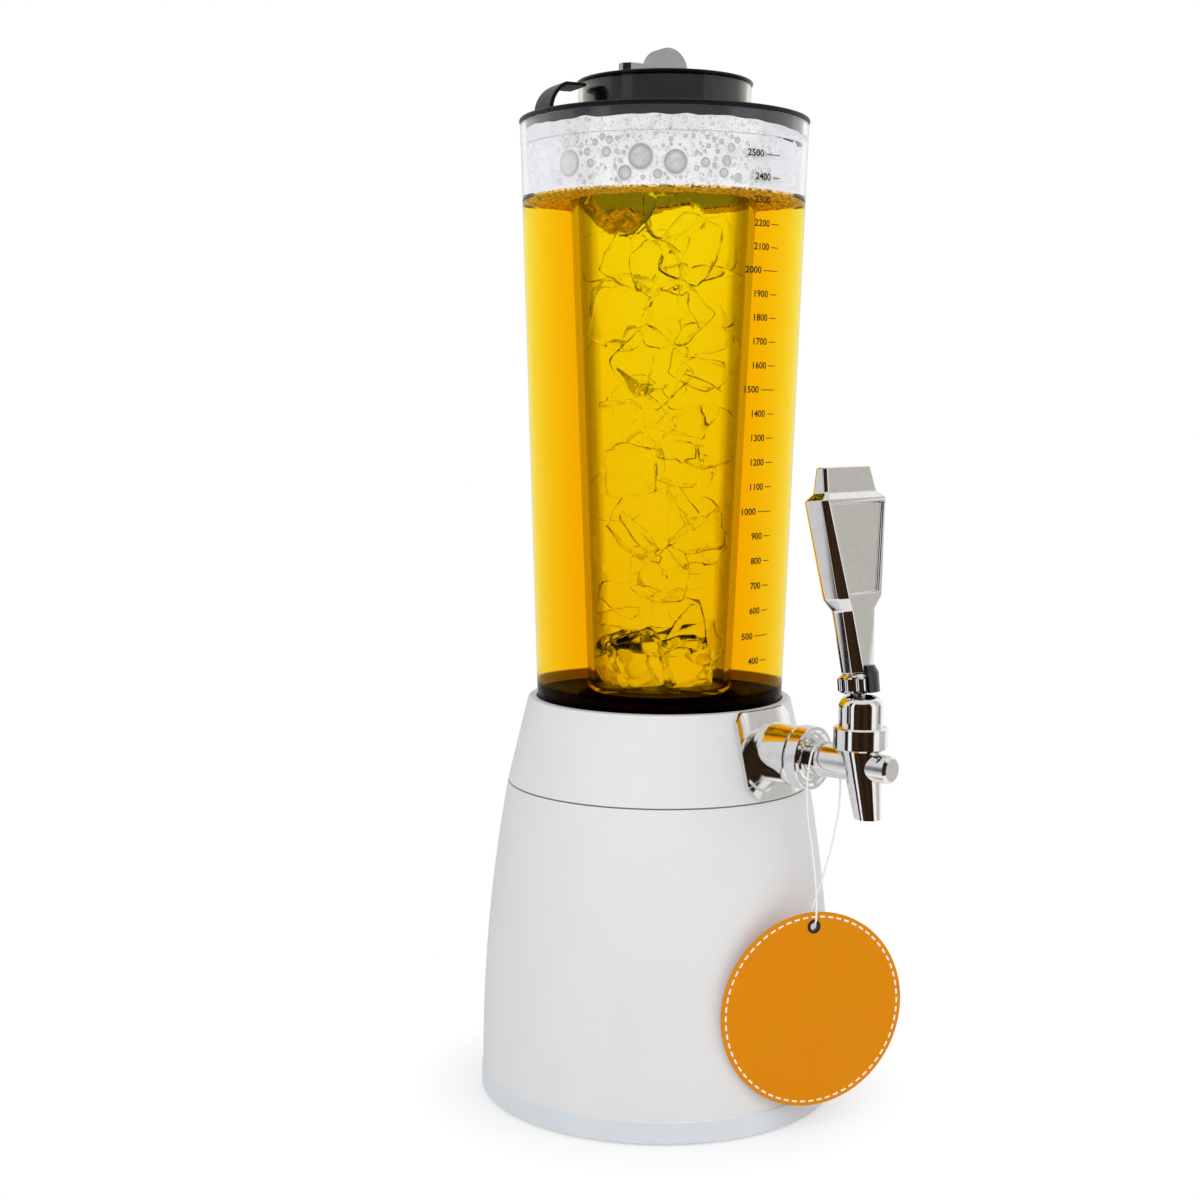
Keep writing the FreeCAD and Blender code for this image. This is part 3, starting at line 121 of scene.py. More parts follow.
def round_run(centre, radius, first, last, steps=6):
    """Points of an arc in a profile, angles in degrees."""
    angles = [math.radians(first + (last - first) * step / steps) for step in range(steps + 1)]
    return [(centre[0] + radius * math.cos(angle), centre[1] + radius * math.sin(angle)) for angle in angles]


def softened(node_name, width, segments=3, crease=25.0):
    """Copy of a CAD node that replaces it, rounded by width mm where it bends more than crease degrees."""
    form = bmesh.new()
    form.from_mesh(NODES[node_name].data)
    bmesh.ops.remove_doubles(form, verts=form.verts, dist=1e-6)
    bmesh.ops.dissolve_limit(form, angle_limit=math.radians(0.5), verts=form.verts, edges=form.edges)
    piece = from_bmesh(node_name + "_form", form)
    bevel = piece.modifiers.new("edges", "BEVEL")
    bevel.width = width * MM
    bevel.segments = segments
    bevel.limit_method = "ANGLE"
    bevel.angle_limit = math.radians(crease)
    bevel.harden_normals = True
    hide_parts(node_name)
    return piece


# ---------------------------------------------------------------- material helpers

class Tree:
    """Short calls on a node tree; inputs are values or sockets."""

    def __init__(self, tree):
        self.tree = tree

    def plug(self, socket, value):
        if isinstance(value, bpy.types.NodeSocket):
            self.tree.links.new(value, socket)
        elif isinstance(value, tuple) and len(value) == 3 and socket.type == "RGBA":
            socket.default_value = (*value, 1.0)
        else:
            socket.default_value = value

    def node(self, kind, inputs=None, **props):
        made = self.tree.nodes.new(kind)
        for key, value in props.items():
            setattr(made, key, value)
        for key, value in (inputs or {}).items():
            self.plug(made.inputs[key], value)
        return made

    def height(self, vector):
        return self.node("ShaderNodeSeparateXYZ", {"Vector": vector}).outputs["Z"]

    def along(self, vector, direction):
        """How far the vector reaches in a direction of length 1."""
        made = self.node("ShaderNodeVectorMath", {0: vector, 1: direction}, operation="DOT_PRODUCT")
        return made.outputs["Value"]

    def span(self, value, low, high, out_low=0.0, out_high=1.0, **props):
        """Carries the range from low to high onto the one from out_low to out_high, and stops at its ends."""
        made = self.node("ShaderNodeMapRange", {"Value": value, "From Min": low, "From Max": high,
                                                "To Min": out_low, "To Max": out_high}, **props)
        return made.outputs["Result"]

    def math(self, operation, first, second=0.0):
        return self.node("ShaderNodeMath", {0: first, 1: second}, operation=operation).outputs[0]

    def mix(self, share, first, second):
        """Colour between first and second: inputs 6 and 7 of a Mix node, and its output 2."""
        made = self.node("ShaderNodeMix", {"Factor": share, 6: first, 7: second}, data_type="RGBA")
        return made.outputs[2]


class Shader(Tree):
    """A new material, whose Principled BSDF is called main."""

    def __init__(self, name, **principled):
        self.material = bpy.data.materials.new(name)
        self.material.use_nodes = True
        super().__init__(self.material.node_tree)
        self.main = self.tree.nodes["Principled BSDF"]
        self.output = self.tree.nodes["Material Output"]
        self.set(**principled)

    def set(self, **inputs):
        for key, value in inputs.items():
            self.plug(self.main.inputs[key.replace("_", " ")], value)

    def place(self):
        """Position in the piece's own frame, in metres."""
        return self.node("ShaderNodeTexCoord").outputs["Object"]

    def stretch(self, vector, scale):
        return self.node("ShaderNodeMapping", {"Vector": vector, "Scale": scale}).outputs["Vector"]

    def noise(self, vector, scale, detail=4.0, rough=0.55):
        return self.node("ShaderNodeTexNoise", {"Vector": vector, "Scale": scale, "Detail": detail,
                                                "Roughness": rough}).outputs["Fac"]

    def bump(self, height, distance, strength=1.0, normal=None):
        made = self.node("ShaderNodeBump", {"Height": height, "Distance": distance, "Strength": strength})
        if normal:
            self.plug(made.inputs["Normal"], normal)
        return made.outputs["Normal"]

    def cover(self, share, other):
        """Show the shader other instead of main, by share."""
        mixed = self.node("ShaderNodeMixShader", {0: share, 1: self.main.outputs[0], 2: other.outputs[0]})
        self.plug(self.output.inputs["Surface"], mixed.outputs[0])


def dress(piece, shader):
    piece.data.materials.clear()
    piece.data.materials.append(shader.material)
    return piece


def dress_nodes(names, shader):
    for name in names:
        dress(NODES[name], shader)


def moulded(name, colour, roughness, grain=900.0, depth=0.00002, mottle=0.03, coat=0.0):
    """Moulded plastic or rubber: fine grain, slight mottling and uneven gloss."""
    shader = Shader(name, Coat_Weight=coat, Coat_Roughness=0.12)
    place = shader.place()
    wide = shader.noise(place, 18.0)
    fine = shader.noise(place, grain, 6.0)
    dark = tuple(channel * (1 - mottle * 2) for channel in colour)
    light = tuple(min(1.0, channel * (1 + mottle)) for channel in colour)
    shader.set(Base_Color=shader.mix(wide, dark, light),
               Roughness=shader.span(fine, 0.3, 0.7, roughness - 0.05, roughness + 0.06),
               Normal=shader.bump(fine, depth))
    return shader


def plated(name, colour, roughness, wave=0.00003):
    """Plated or plain metal: faint waviness, hairline wear and smudged gloss."""
    shader = Shader(name, Metallic=1.0)
    place = shader.place()
    broad = shader.noise(place, 130.0, 2.0)
    smudge = shader.noise(place, 260.0, 5.0)
    lines = shader.noise(shader.stretch(place, (1.0, 1.0, 6.0)), 1500.0, 3.0)
    smudged = tuple(channel * 0.93 for channel in colour)
    wear = shader.math("ADD", smudge, shader.math("MULTIPLY", lines, 0.5))
    shader.set(Base_Color=shader.mix(shader.span(smudge, 0.45, 0.75), colour, smudged),
               Roughness=shader.span(wear, 0.5, 1.0, roughness, roughness + 0.05),
               Normal=shader.bump(broad, wave, 0.6, shader.bump(lines, 0.000004, 0.4)))
    return shader


def clear_wall(name, roughness=0.0, **principled):
    """Clear material that lamps shine through."""
    shader = Shader(name, Transmission_Weight=1.0, Roughness=roughness, **principled)
    shadow = shader.node("ShaderNodeLightPath").outputs["Is Shadow Ray"]
    shader.cover(shadow, shader.node("ShaderNodeBsdfTransparent"))
    return shader


# ---------------------------------------------------------------- materials

BLACKEST = (0.004, 0.005, 0.007)
NO_MIRRORING = (0.0, 0.0, 0.0)
SEAM_Z = min(vertex.co.z for vertex in NODES["collar"].data.vertices)    # metres, where collar and shell meet
SEAM_HALF = 0.00025                 # metres, half the painted shade line's height
KNOB_FOOT = 0.5232, 0.5236          # metres, heights between which the cap turns into its glossier knob
SHADED_FOOT = 0.2160, 0.2165          # metres, heights between which the painted shade on the container's foot gives way to clear wall
WALL_TINT = (0.985, 0.99, 0.995)
WALL_IOR, WET_IOR = 1.49, 1.06      # clear plastic in air, and with liquid behind it
WET_GLOSS = 0.03                    # share of its mirroring that a wall keeps with liquid behind it


def shell_shader():
    """White plastic with a thin line of painted shade where the collar meets the shell."""
    shader = moulded("white_plastic", (0.74, 0.74, 0.74), 0.45, coat=0.08)
    away = shader.math("ABSOLUTE", shader.math("SUBTRACT", shader.height(shader.place()), SEAM_Z))
    plain = shader.main.inputs["Base Color"].links[0].from_socket
    # painted shade: a thin dark line at the seam's height
    shader.set(Base_Color=shader.mix(shader.span(away, SEAM_HALF, SEAM_HALF * 2), (0.16, 0.16, 0.17), plain))
    return shader


def dull_plastic(name, colour, roughness, gloss):
    """Dark plastic that mirrors only a little."""
    shader = moulded(name, colour, roughness, mottle=0.15)
    shader.set(Specular_IOR_Level=gloss)
    return shader


def knob_shader():
    """Black plastic of the cap, with a glossier knob."""
    shader = moulded("knob_plastic", BLACKEST, 0.22, mottle=0.15)
    height = shader.height(shader.place())
    shader.set(Specular_IOR_Level=shader.span(height, *KNOB_FOOT, 0.16, 1.0),
               IOR=shader.span(height, *KNOB_FOOT, 1.5, 2.4))
    return shader


def clear_plastic(name, liquid_top, dry_gloss):
    """Faintly wavy clear wall; it keeps dry_gloss of its mirroring above liquid_top, and hardly any below."""
    shader = clear_wall(name)
    place = shader.place()
    wave = shader.noise(shader.stretch(place, (1.0, 1.0, 0.3)), 30.0, 2.0)
    dry = shader.span(shader.height(place), (liquid_top - 1) * MM, (liquid_top + 1) * MM)
    shader.set(Normal=shader.bump(wave, 0.0001, 0.25),
               Specular_Tint=shader.mix(dry, (WET_GLOSS,) * 3, (dry_gloss,) * 3),
               IOR=shader.span(dry, 0.0, 1.0, WET_IOR, WALL_IOR))
    return shader


def container_shader():
    """Clear wall with painted shade on its foot, where the collar shades it."""
    shader = clear_plastic("clear_plastic", BEER_TOP, 1.0)
    above = shader.span(shader.height(shader.place()), *SHADED_FOOT)
    # painted shade: dark brown colour on the wall below the foot's top
    shader.set(Base_Color=shader.mix(above, (0.16, 0.11, 0.06), WALL_TINT))
    return shader


def tube_shader():
    """Clear wall with a darker tint painted where it is seen edge on: painted shade for the dark bands at the
    tube's sides, and partly the longer path through the plastic there.
    """
    shader = clear_plastic("tube_plastic", RIM_Z, 0.35)
    facing = shader.node("ShaderNodeLayerWeight", {"Blend": 0.5}).outputs["Facing"]
    edge_shade = shader.span(facing, 0.36, 0.42)
    # painted shade: darker, browner tint at grazing view
    shader.set(Base_Color=shader.mix(edge_shade, (0.985, 0.99, 0.98), (0.62, 0.57, 0.45)))
    return shader


def beer_shader():
    """Beer, coloured by how far light travels in it; its faces are painted a little browner and darker lower
    down, as painted shade.
    """
    shader = clear_wall("beer", IOR=1.04, Specular_Tint=NO_MIRRORING)
    share = shader.span(shader.height(shader.place()), SHELF_Z * MM, BEER_TOP * MM)
    # painted shade: the faces' colour darkens and browns towards the beer's foot
    shader.set(Base_Color=shader.mix(share, (0.95, 0.84, 0.16), (0.99, 0.99, 0.20)))
    volume = shader.node("ShaderNodeVolumeAbsorption", {"Color": (0.996, 0.872, 0.0), "Density": 60.0})
    shader.plug(shader.output.inputs["Volume"], volume.outputs[0])
    return shader


def ice_shader():
    """Clear ice that bends light more at the foot of the tube than above it."""
    shader = clear_wall("ice", 0.10, Base_Color=(0.995, 0.997, 0.99), Specular_Tint=NO_MIRRORING)
    place = shader.place()
    shader.set(Normal=shader.bump(shader.noise(place, 60.0, 2.0), 0.0012, 0.5),
               IOR=shader.span(shader.height(place), 0.222, 0.245, 1.24, 1.038))
    return shader


dress_nodes(["base_shell", "collar"], shell_shader())
dress_nodes(["base_ring"], moulded("pale_plastic", (0.67, 0.71, 0.75), 0.35, coat=0.2))
dress_nodes(["base_plate", "friction_ring"],
            moulded("black_plastic", (0.014, 0.016, 0.020), 0.36, mottle=0.15))
dress_nodes(["stop_pad"], moulded("pad_plastic", BLACKEST, 0.2, mottle=0.15, coat=0.3))
dress_nodes(["reservoir"], dull_plastic("floor_plastic", (0.008, 0.006, 0.005), 0.6, 0.05))
dress_nodes(["lid"], dull_plastic("lid_plastic", BLACKEST, 0.36, 0.16))
dress_nodes(["tube_cap"], knob_shader())
dress_nodes(["foot_ring", "shank_washer", "tail_washer", "ball_washer", "plunger_seal"],
            moulded("rubber", (0.03, 0.03, 0.03), 0.7, depth=0.00005, mottle=0.1))
dress_nodes(["container_gasket"], moulded("seal", (0.42, 0.42, 0.41), 0.5, depth=0.00004))
dress_nodes(["base_screws", "deck_screws", "tap_shank", "lock_nut", "plunger", "lever"],
            plated("steel", (0.55, 0.55, 0.56), 0.25))
dress_nodes(["tap_plate", "tap_sleeve", "ring_nut", "tap_body", "nose_plug", "bonnet_nut", "bonnet",
             "ferrule", "handle"], plated("chrome", (0.86, 0.855, 0.85), 0.035))
dress_nodes(["container"], container_shader())
dress_nodes(["ice_tube"], tube_shader())
dress_nodes(["tag_eyelet"], moulded("eyelet", (0.012, 0.012, 0.012), 0.3))

# ---------------------------------------------------------------- the drink

BEER_STEPS, BEER_SEGMENTS = 24, 192
WELL_BEVEL = 1.0                # mm, at the edge of the reservoir's well


def make_beer():
    foot, well = SHELF_Z - OVERLAP, WELL_R + OVERLAP
    heights = [foot + (BEER_TOP - foot) * step / BEER_STEPS for step in range(BEER_STEPS + 1)]
    profile = [(0, WELL_Z - OVERLAP), (well, WELL_Z - OVERLAP), (well, foot - 2 * WELL_BEVEL),
               (well + WELL_BEVEL, foot - WELL_BEVEL)]
    profile += [(inner_radius(z) + OVERLAP, z) for z in heights]
    profile += [(tube_radius(z) - OVERLAP, z) for z in reversed(heights) if z > TUBE_FOOT_Z + TUBE_ROUND]
    rounding = TUBE_FOOT_R - TUBE_ROUND - OVERLAP, TUBE_FOOT_Z + TUBE_ROUND + OVERLAP
    profile += round_run(rounding, TUBE_ROUND, 0, -90)
    profile += [(0, TUBE_FOOT_Z + OVERLAP)]
    beer = revolve("beer", profile, BEER_SEGMENTS)
    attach(dress(beer, beer_shader()), "tower")


# ---------------------------------------------------------------- the foam and its large bubbles

LIT_SIDE_WHITE = (0.93, 0.94, 0.97)     # painted light: froth painted plain white round the sides, away from the coarse patch
COARSE_TURN = math.radians(48.0)    # from the tap's direction to the middle of the coarse patch
COARSE_REACH = 0.058, 0.038         # metres along that direction: full coarse froth, and none
FROTH_CELLS = (330.0, 0.78), (620.0, 0.76), (1150.0, 0.78)      # scale and darkness of each size of bubble; the darkness is painted shade inside the bubbles
UNDER_FROTH = (BEER_TOP + 0.2) * MM, (BEER_TOP + 1.2) * MM      # metres, where its stained underside, which also glows with painted light, ends


def away_share(shader):
    """From 0 on the froth's coarse patch to 1 round its sides, where painted light turns the froth plain
    white; by the place on the object.
    """
    middle = (-math.sin(COARSE_TURN), -math.cos(COARSE_TURN), 0)
    return shader.span(shader.along(shader.place(), middle), *COARSE_REACH)


def foam_shader():
    """White froth: bubbles of three sizes, greyed with painted shade, in a pale web; plain white at the sides
    with painted light; stained below, where it also glows with painted light.
    """
    shader = Shader("foam", Roughness=0.5)
    place = shader.place()
    web = 1.0
    for scale, dark in FROTH_CELLS:
        cells = shader.node("ShaderNodeTexVoronoi", {"Vector": place, "Scale": scale}, feature="F1")
        chance = shader.node("ShaderNodeSeparateColor", {"Color": cells.outputs["Color"]}).outputs["Red"]
        beyond = shader.math("SUBTRACT", cells.outputs["Distance"], shader.math("MULTIPLY", chance, 0.42))
        web = shader.math("MULTIPLY", web, shader.span(beyond, -0.05, 0.05, dark, 1.0))
    cloud = shader.span(shader.noise(place, 60.0, 3.0), 0.35, 0.65, 0.86, 1.0)
    coarse = shader.mix(shader.math("MULTIPLY", web, cloud), (0.02, 0.02, 0.02), (0.93, 0.915, 0.93))
    # painted light: plain white round the froth's sides
    side = shader.mix(away_share(shader), coarse, LIT_SIDE_WHITE)
    grain = shader.span(shader.noise(place, 600.0, 2.0), 0.40, 0.56)
    below = shader.mix(grain, (0.10, 0.04, 0.010), (0.85, 0.50, 0.22))
    above = shader.span(shader.height(place), *UNDER_FROTH)
    # painted light: the stained underside glows in its own colour, standing in for light through the beer
    shader.set(Base_Color=shader.mix(above, below, side), Normal=shader.bump(web, 0.0005, 0.8),
               Emission_Color=below, Emission_Strength=shader.span(above, 0.0, 1.0, 0.28, 0.0))
    return shader


FOAM_TOP = 494.2                # mm, where the foam meets the wall, just under the lid's skirt
FOAM_GAP = 0.6                  # mm from the wall to the froth between the large bubbles
FOAM_DIP = 0.4                  # mm that the froth reaches into the drink, and that its top swells
FOAM_LIP = 497.4                # mm, top of the froth pressed up between the wall and the lid's skirt
FOAM_SEGMENTS, FOAM_LEVELS = 220, 8
LIP_CORNERS = (                 # mm off the wall, and height
    (0.30, FOAM_TOP - 4), (0.05, FOAM_TOP - 4), (0.05, FOAM_LIP), (0.28, FOAM_LIP),
)
SAG_AT, SAG_WIDE = math.radians(-70.0), math.radians(26.0)      # where the froth's top sags, and how widely


def sag_share(at):
    turn = math.remainder(math.atan2(at.y, at.x) - SAG_AT, math.tau)
    return math.exp(-(turn / SAG_WIDE) ** 2)


def uneven_foam(at):
    """Ripples the froth's underside, and lets its top sink and sag."""
    if at.z < BEER_TOP + 5:
        return at + Vector((0, 0, noise.noise(at * 0.35) * 0.5))
    sag = 5.5 * sag_share(at) + abs(noise.noise(at * 0.06)) * 2.0
    return at - Vector((0, 0, sag * (at.z - BEER_TOP) / (FOAM_TOP - BEER_TOP)))


def ragged_lip(at):
    """Makes the lip's top edge uneven, and lets it sag with the froth."""
    if at.z < FOAM_TOP + 1:
        return at
    return at + Vector((0, 0, noise.noise(at * 0.11) * 1.3 - 3.2 * sag_share(at)))


def level_run(start, end, height, steps=10):
    """Points between two radii at one height, without its ends."""
    return [(start + (end - start) * step / steps, height) for step in range(1, steps)]


def make_foam():
    rise = FOAM_TOP - BEER_TOP
    heights = [BEER_TOP - FOAM_DIP + rise * step / FOAM_LEVELS for step in range(FOAM_LEVELS + 1)]
    outside = [(inner_radius(z) - FOAM_GAP, z) for z in heights]
    inside = [(tube_radius(z) - OVERLAP, z) for z in reversed(heights)]
    over = level_run(outside[-1][0], inside[0][0], FOAM_TOP + FOAM_DIP)
    under = level_run(inside[-1][0], outside[0][0], BEER_TOP - FOAM_DIP)
    foam = revolve("foam", outside + over + inside + under, FOAM_SEGMENTS, uneven_foam)
    froth = foam_shader()
    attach(dress(foam, froth), "tower")
    film = [(inner_radius(z) - gap, z) for gap, z in LIP_CORNERS]
    lip = revolve("foam_lip", film, FOAM_SEGMENTS, ragged_lip)
    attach(dress(lip, froth), "tower")


BUBBLES = ((5, (4.5, 6.8)), (26, (2.6, 4.2)), (150, (1.2, 2.5)), (620, (0.5, 1.2)))     # count, radii in mm
BUBBLE_SEED = 5
BUBBLE_TURN = math.radians(-35.0)       # turns the whole ring of large bubbles
BUBBLE_ROOM = 1.5, 4.0, 0.3             # least mm below, above and between bubbles
BUBBLE_SEGMENTS, BUBBLE_TALL = 20, 1.05
BUBBLE_FACE = (                         # share of the radius, and mm behind the wall
    (0.0, 0.42), (0.45, 0.40), (0.8, 0.34), (0.93, 0.22), (1.0, 0.30), (1.08, 0.75),
)


def scattered_bubbles(rng):
    """Angle, height and radius of large bubbles against the wall, in mm and without overlaps."""
    below, above, between = BUBBLE_ROOM
    kept = []
    sizes = [rng.uniform(*span) for count, span in BUBBLES for _ in range(count)]
    for size in sorted(sizes, reverse=True):
        angle = rng.uniform(0, math.tau)
        height = rng.uniform(BEER_TOP + size + below, FOAM_TOP - size - above)
        apart = (math.hypot(math.remainder(angle - turn, math.tau) * RIM_INNER, height - up)
                 > size + reach + between for turn, up, reach in kept)
        if all(apart):
            kept.append((angle, height, size))
    return kept


def bubble_shader():
    """Painted shade as a mottled grey middle and a darker ring, and a painted highlight as a bright rim, by
    the vertices' edge value.
    """
    shader = Shader("bubble_film", Roughness=0.3)
    share = shader.node("ShaderNodeAttribute", attribute_name="edge").outputs["Fac"]
    cloud = shader.span(shader.noise(shader.place(), 420.0, 4.0), 0.35, 0.65)
    middle = shader.mix(cloud, (0.50, 0.50, 0.475), (0.66, 0.66, 0.64))
    ringed = shader.mix(shader.span(share, 0.55, 0.88), middle, (0.34, 0.335, 0.31))
    film = shader.mix(shader.span(share, 0.88, 0.97), ringed, (0.76, 0.76, 0.77))
    # painted light: plain white round the froth's sides
    shader.set(Base_Color=shader.mix(away_share(shader), film, LIT_SIDE_WHITE))
    return shader


def make_bubbles():
    """Flat faces of large bubbles, each with a raised rim."""
    form = bmesh.new()
    edge = form.verts.layers.float.new("edge")
    for angle, height, size in scattered_bubbles(random.Random(BUBBLE_SEED)):
        rings = []
        for share, depth in BUBBLE_FACE:
            ring = []
            for step in range(BUBBLE_SEGMENTS if share else 1):
                turn = math.tau * step / BUBBLE_SEGMENTS
                up = height + size * share * math.sin(turn) * BUBBLE_TALL
                reach = inner_radius(up) - depth
                at = BUBBLE_TURN + angle + size * share * math.cos(turn) / reach
                vert = form.verts.new(Vector((reach * math.cos(at), reach * math.sin(at), up)) * MM)
                vert[edge] = share
                ring.append(vert)
            rings.append(ring)
        for inner, outer in zip(rings, rings[1:]):
            bridge(form, inner, outer)
    bubbles = from_bmesh("foam_bubbles", form, ALL_SMOOTH)
    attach(dress(bubbles, bubble_shader()), "tower")


# ---------------------------------------------------------------- the ice

ICE_SEED, ICE_CUBES = 11, 58
ICE_POUR_TOP = 560.0            # mm, height from which the last cube falls
ICE_POUR_REACH = 6, 26          # mm from the tower's axis
ICE_RADII = 13.5, 17.0          # mm, of the balls that stand for the cubes while they settle
ICE_SIDES = 1.5, 1.85           # a cube's sides, in radii of its ball
ICE_GAP, BALL_GAP = 0.8, 0.5    # mm, least room between the tube's wall and the ice, and the balls
ICE_FLOOR = TUBE_FOOT_Z + TUBE_WALL + 1.2       # mm, lowest that ice lies
FIRST_CUBE = 12                 # mm, height of the first cube above the tube's floor
SETTLE_ROUNDS, SETTLE_DROP = 160, 0.5           # count, and mm that a ball sinks in each
SQUEEZE = 0.97                  # how near two balls may come, in sums of their radii


def ice_cube(form, centre, size, turn, rng):
    """One rounded, slightly hollowed cube added to form."""
    cube = bmesh.new()
    bmesh.ops.create_cube(cube, size=2.0)
    bmesh.ops.subdivide_edges(cube, edges=cube.edges, cuts=6, use_grid_fill=True)
    shift = Vector((rng.uniform(-9, 9), rng.uniform(-9, 9), rng.uniform(-9, 9)))
    for vert in cube.verts:
        ball = vert.co.normalized()
        at = vert.co * 0.60 + ball * 0.45
        at *= 1 + 0.10 * noise.noise(ball * 1.7 + shift) + 0.03 * noise.noise(ball * 5 + shift)
        at = centre + turn @ Vector((at.x * size.x, at.y * size.y, at.z * size.z)) / 2
        at.z = max(at.z, ICE_FLOOR * MM)
        room = (tube_radius(at.z / MM) - TUBE_WALL - ICE_GAP) * MM
        inward = min(1.0, room / max(math.hypot(at.x, at.y), MM))
        vert.co = Vector((at.x * inward, at.y * inward, at.z))
    mesh = bpy.data.meshes.new("cube")
    cube.to_mesh(mesh)
    cube.free()
    form.from_mesh(mesh)
    bpy.data.meshes.remove(mesh)


def settle(rng):
    """Loose packing of balls in the chilling tube: centres and radii in mm."""
    balls = []
    for place in range(ICE_CUBES):
        radius = rng.uniform(*ICE_RADII)
        rise = (ICE_POUR_TOP - TUBE_FOOT_Z - FIRST_CUBE) * place / ICE_CUBES
        height = TUBE_FOOT_Z + TUBE_WALL + FIRST_CUBE + rise
        angle, reach = rng.uniform(0, math.tau), rng.uniform(*ICE_POUR_REACH)
        balls.append([Vector((reach * math.cos(angle), reach * math.sin(angle), height)), radius])
    for _ in range(SETTLE_ROUNDS):
        for ball in balls:
            ball[0].z -= SETTLE_DROP
        for place, (at, radius) in enumerate(balls):
            for other, reach in balls[place + 1:]:
                apart = other - at
                lack = (radius + reach) * SQUEEZE - apart.length
                if lack > 0:
                    push = apart.normalized() * (lack / 2)
                    other += push
                    at -= push
        for at, radius in balls:
            at.z = max(at.z, TUBE_FOOT_Z + TUBE_WALL + radius)
            room = tube_radius(at.z) - TUBE_WALL - radius - BALL_GAP
            flat = Vector((at.x, at.y))
            if flat.length > room:
                flat *= room / flat.length
                at.x, at.y = flat
    return balls


def make_ice():
    rng = random.Random(ICE_SEED)
    form = bmesh.new()
    for at, radius in settle(rng):
        if at.z + radius > FOAM_TOP:
            continue
        size = Vector([radius * rng.uniform(*ICE_SIDES) * MM for _ in range(3)])
        spin = Matrix.Rotation(rng.uniform(0, math.tau), 3, "Z")
        tilt = Matrix.Rotation(rng.uniform(0, math.pi), 3, "X")
        roll = Matrix.Rotation(rng.uniform(0, math.tau), 3, "Y")
        ice_cube(form, at * MM, size, spin @ tilt @ roll, rng)
    ice = from_bmesh("ice_cubes", form, ALL_SMOOTH)
    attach(dress(ice, ice_shader()), "lid")


make_beer()
make_foam()
make_bubbles()
make_ice()

# ---------------------------------------------------------------- scale on the wall: plain numbers and ticks

SCALE_FOOT, SCALE_HEAD = math.radians(6.5), math.radians(0.4)   # ticks' right ends past the tap, low and high
SCALE_ML, LONG_EVERY = range(300, 2600, 100), 500
LONG_TICK, SHORT_TICK, TICK_THICK = 10.3, 5.3, 0.42             # mm
TICK_ZERO, TICK_RISE, TICK_EASE = 181.2, 0.13146, 4.634e-6      # mm, mm per ml, and mm per ml squared
DIGIT_SIZE, DIGIT_WIDEN, DIGIT_GAP = 4.6, 1.12, 1.5             # mm, times, and mm from number to tick
INK_PROUD = 0.04                                                # mm off the wall


def tick_height(volume):
    """Height in mm of a volume in ml; the container widens, so the ticks draw nearer."""
    return TICK_ZERO + TICK_RISE * volume - TICK_EASE * volume ** 2


def on_wall(along, height):
    """Point on the outside of the container: along runs right in mm for someone who faces the tap."""
    radius = inner_radius(height) + WALL + INK_PROUD
    share = (height - COLLAR_TOP) / (RIM_Z - COLLAR_TOP)
    angle = SCALE_FOOT + (SCALE_HEAD - SCALE_FOOT) * share + along / radius
    return Vector((radius * math.sin(angle), -radius * math.cos(angle), height)) * MM


def add_tick(form, start, height, steps=4):
    lower, upper = ([form.verts.new(on_wall(start * (1 - step / steps), height + side * TICK_THICK / 2))
                     for step in range(steps + 1)] for side in (-1, 1))
    for step in range(steps):
        form.faces.new([lower[step], lower[step + 1], upper[step + 1], upper[step]])


def add_number(form, number, end, height):
    """The number's digits, which end at end, bent round the wall."""
    words = bpy.data.curves.new("number", "FONT")
    words.body = str(number)
    words.size = DIGIT_SIZE
    words.align_x = "RIGHT"
    words.align_y = "CENTER"
    words.resolution_u = 3
    words.offset = 0.10
    holder = link("number", words)
    flat = bpy.data.meshes.new_from_object(holder)
    bpy.data.objects.remove(holder)
    base = len(form.verts)
    form.from_mesh(flat)
    form.verts.ensure_lookup_table()
    for vert in form.verts[base:]:
        vert.co = on_wall(end + vert.co.x * DIGIT_WIDEN, height + vert.co.y)
    bpy.data.meshes.remove(flat)


def make_scale():
    form = bmesh.new()
    for volume in SCALE_ML:
        height = tick_height(volume)
        start = -(SHORT_TICK if volume % LONG_EVERY else LONG_TICK)
        add_tick(form, start, height)
        add_number(form, volume, start - DIGIT_GAP, height)
    scale = from_bmesh("scale_numbers", form)
    ink = Shader("ink", Roughness=0.6, Specular_IOR_Level=0.1)
    fade = ink.noise(ink.place(), 900.0, 4.0)
    ink.set(Base_Color=ink.mix(fade, (0.008, 0.004, 0.002), (0.025, 0.012, 0.005)))
    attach(dress(scale, ink), "tower")


make_scale()

# ---------------------------------------------------------------- tap details

handle = softened("handle", 0.9)
dress(handle, plated("satin_chrome", (0.80, 0.79, 0.765), 0.08, wave=0.00002))
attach(handle, "handle")

# ---------------------------------------------------------------- hang tag: card, stitches and string

TAG_TURN = math.radians(-28.0)              # the card's turn about the upright
TAG_REACH, TAG_SHIFT = 105.5, -4.0          # mm out to the card, and along it
TAG_Z, TAG_R, TAG_THICK = 63.0, 49.0, 1.0   # mm
STITCHES, STITCH_R = 64, TAG_R * 0.955
STITCH_HALF = math.tau / STITCHES * 0.30    # radians
STITCH_WIDE, STITCH_SWELL = 0.42, 0.16      # mm to each side, and off the card
STITCH_PROFILE = (-1, 0), (-0.5, 0.8), (0.5, 0.8), (1, 0)       # shares of the width and of the swell


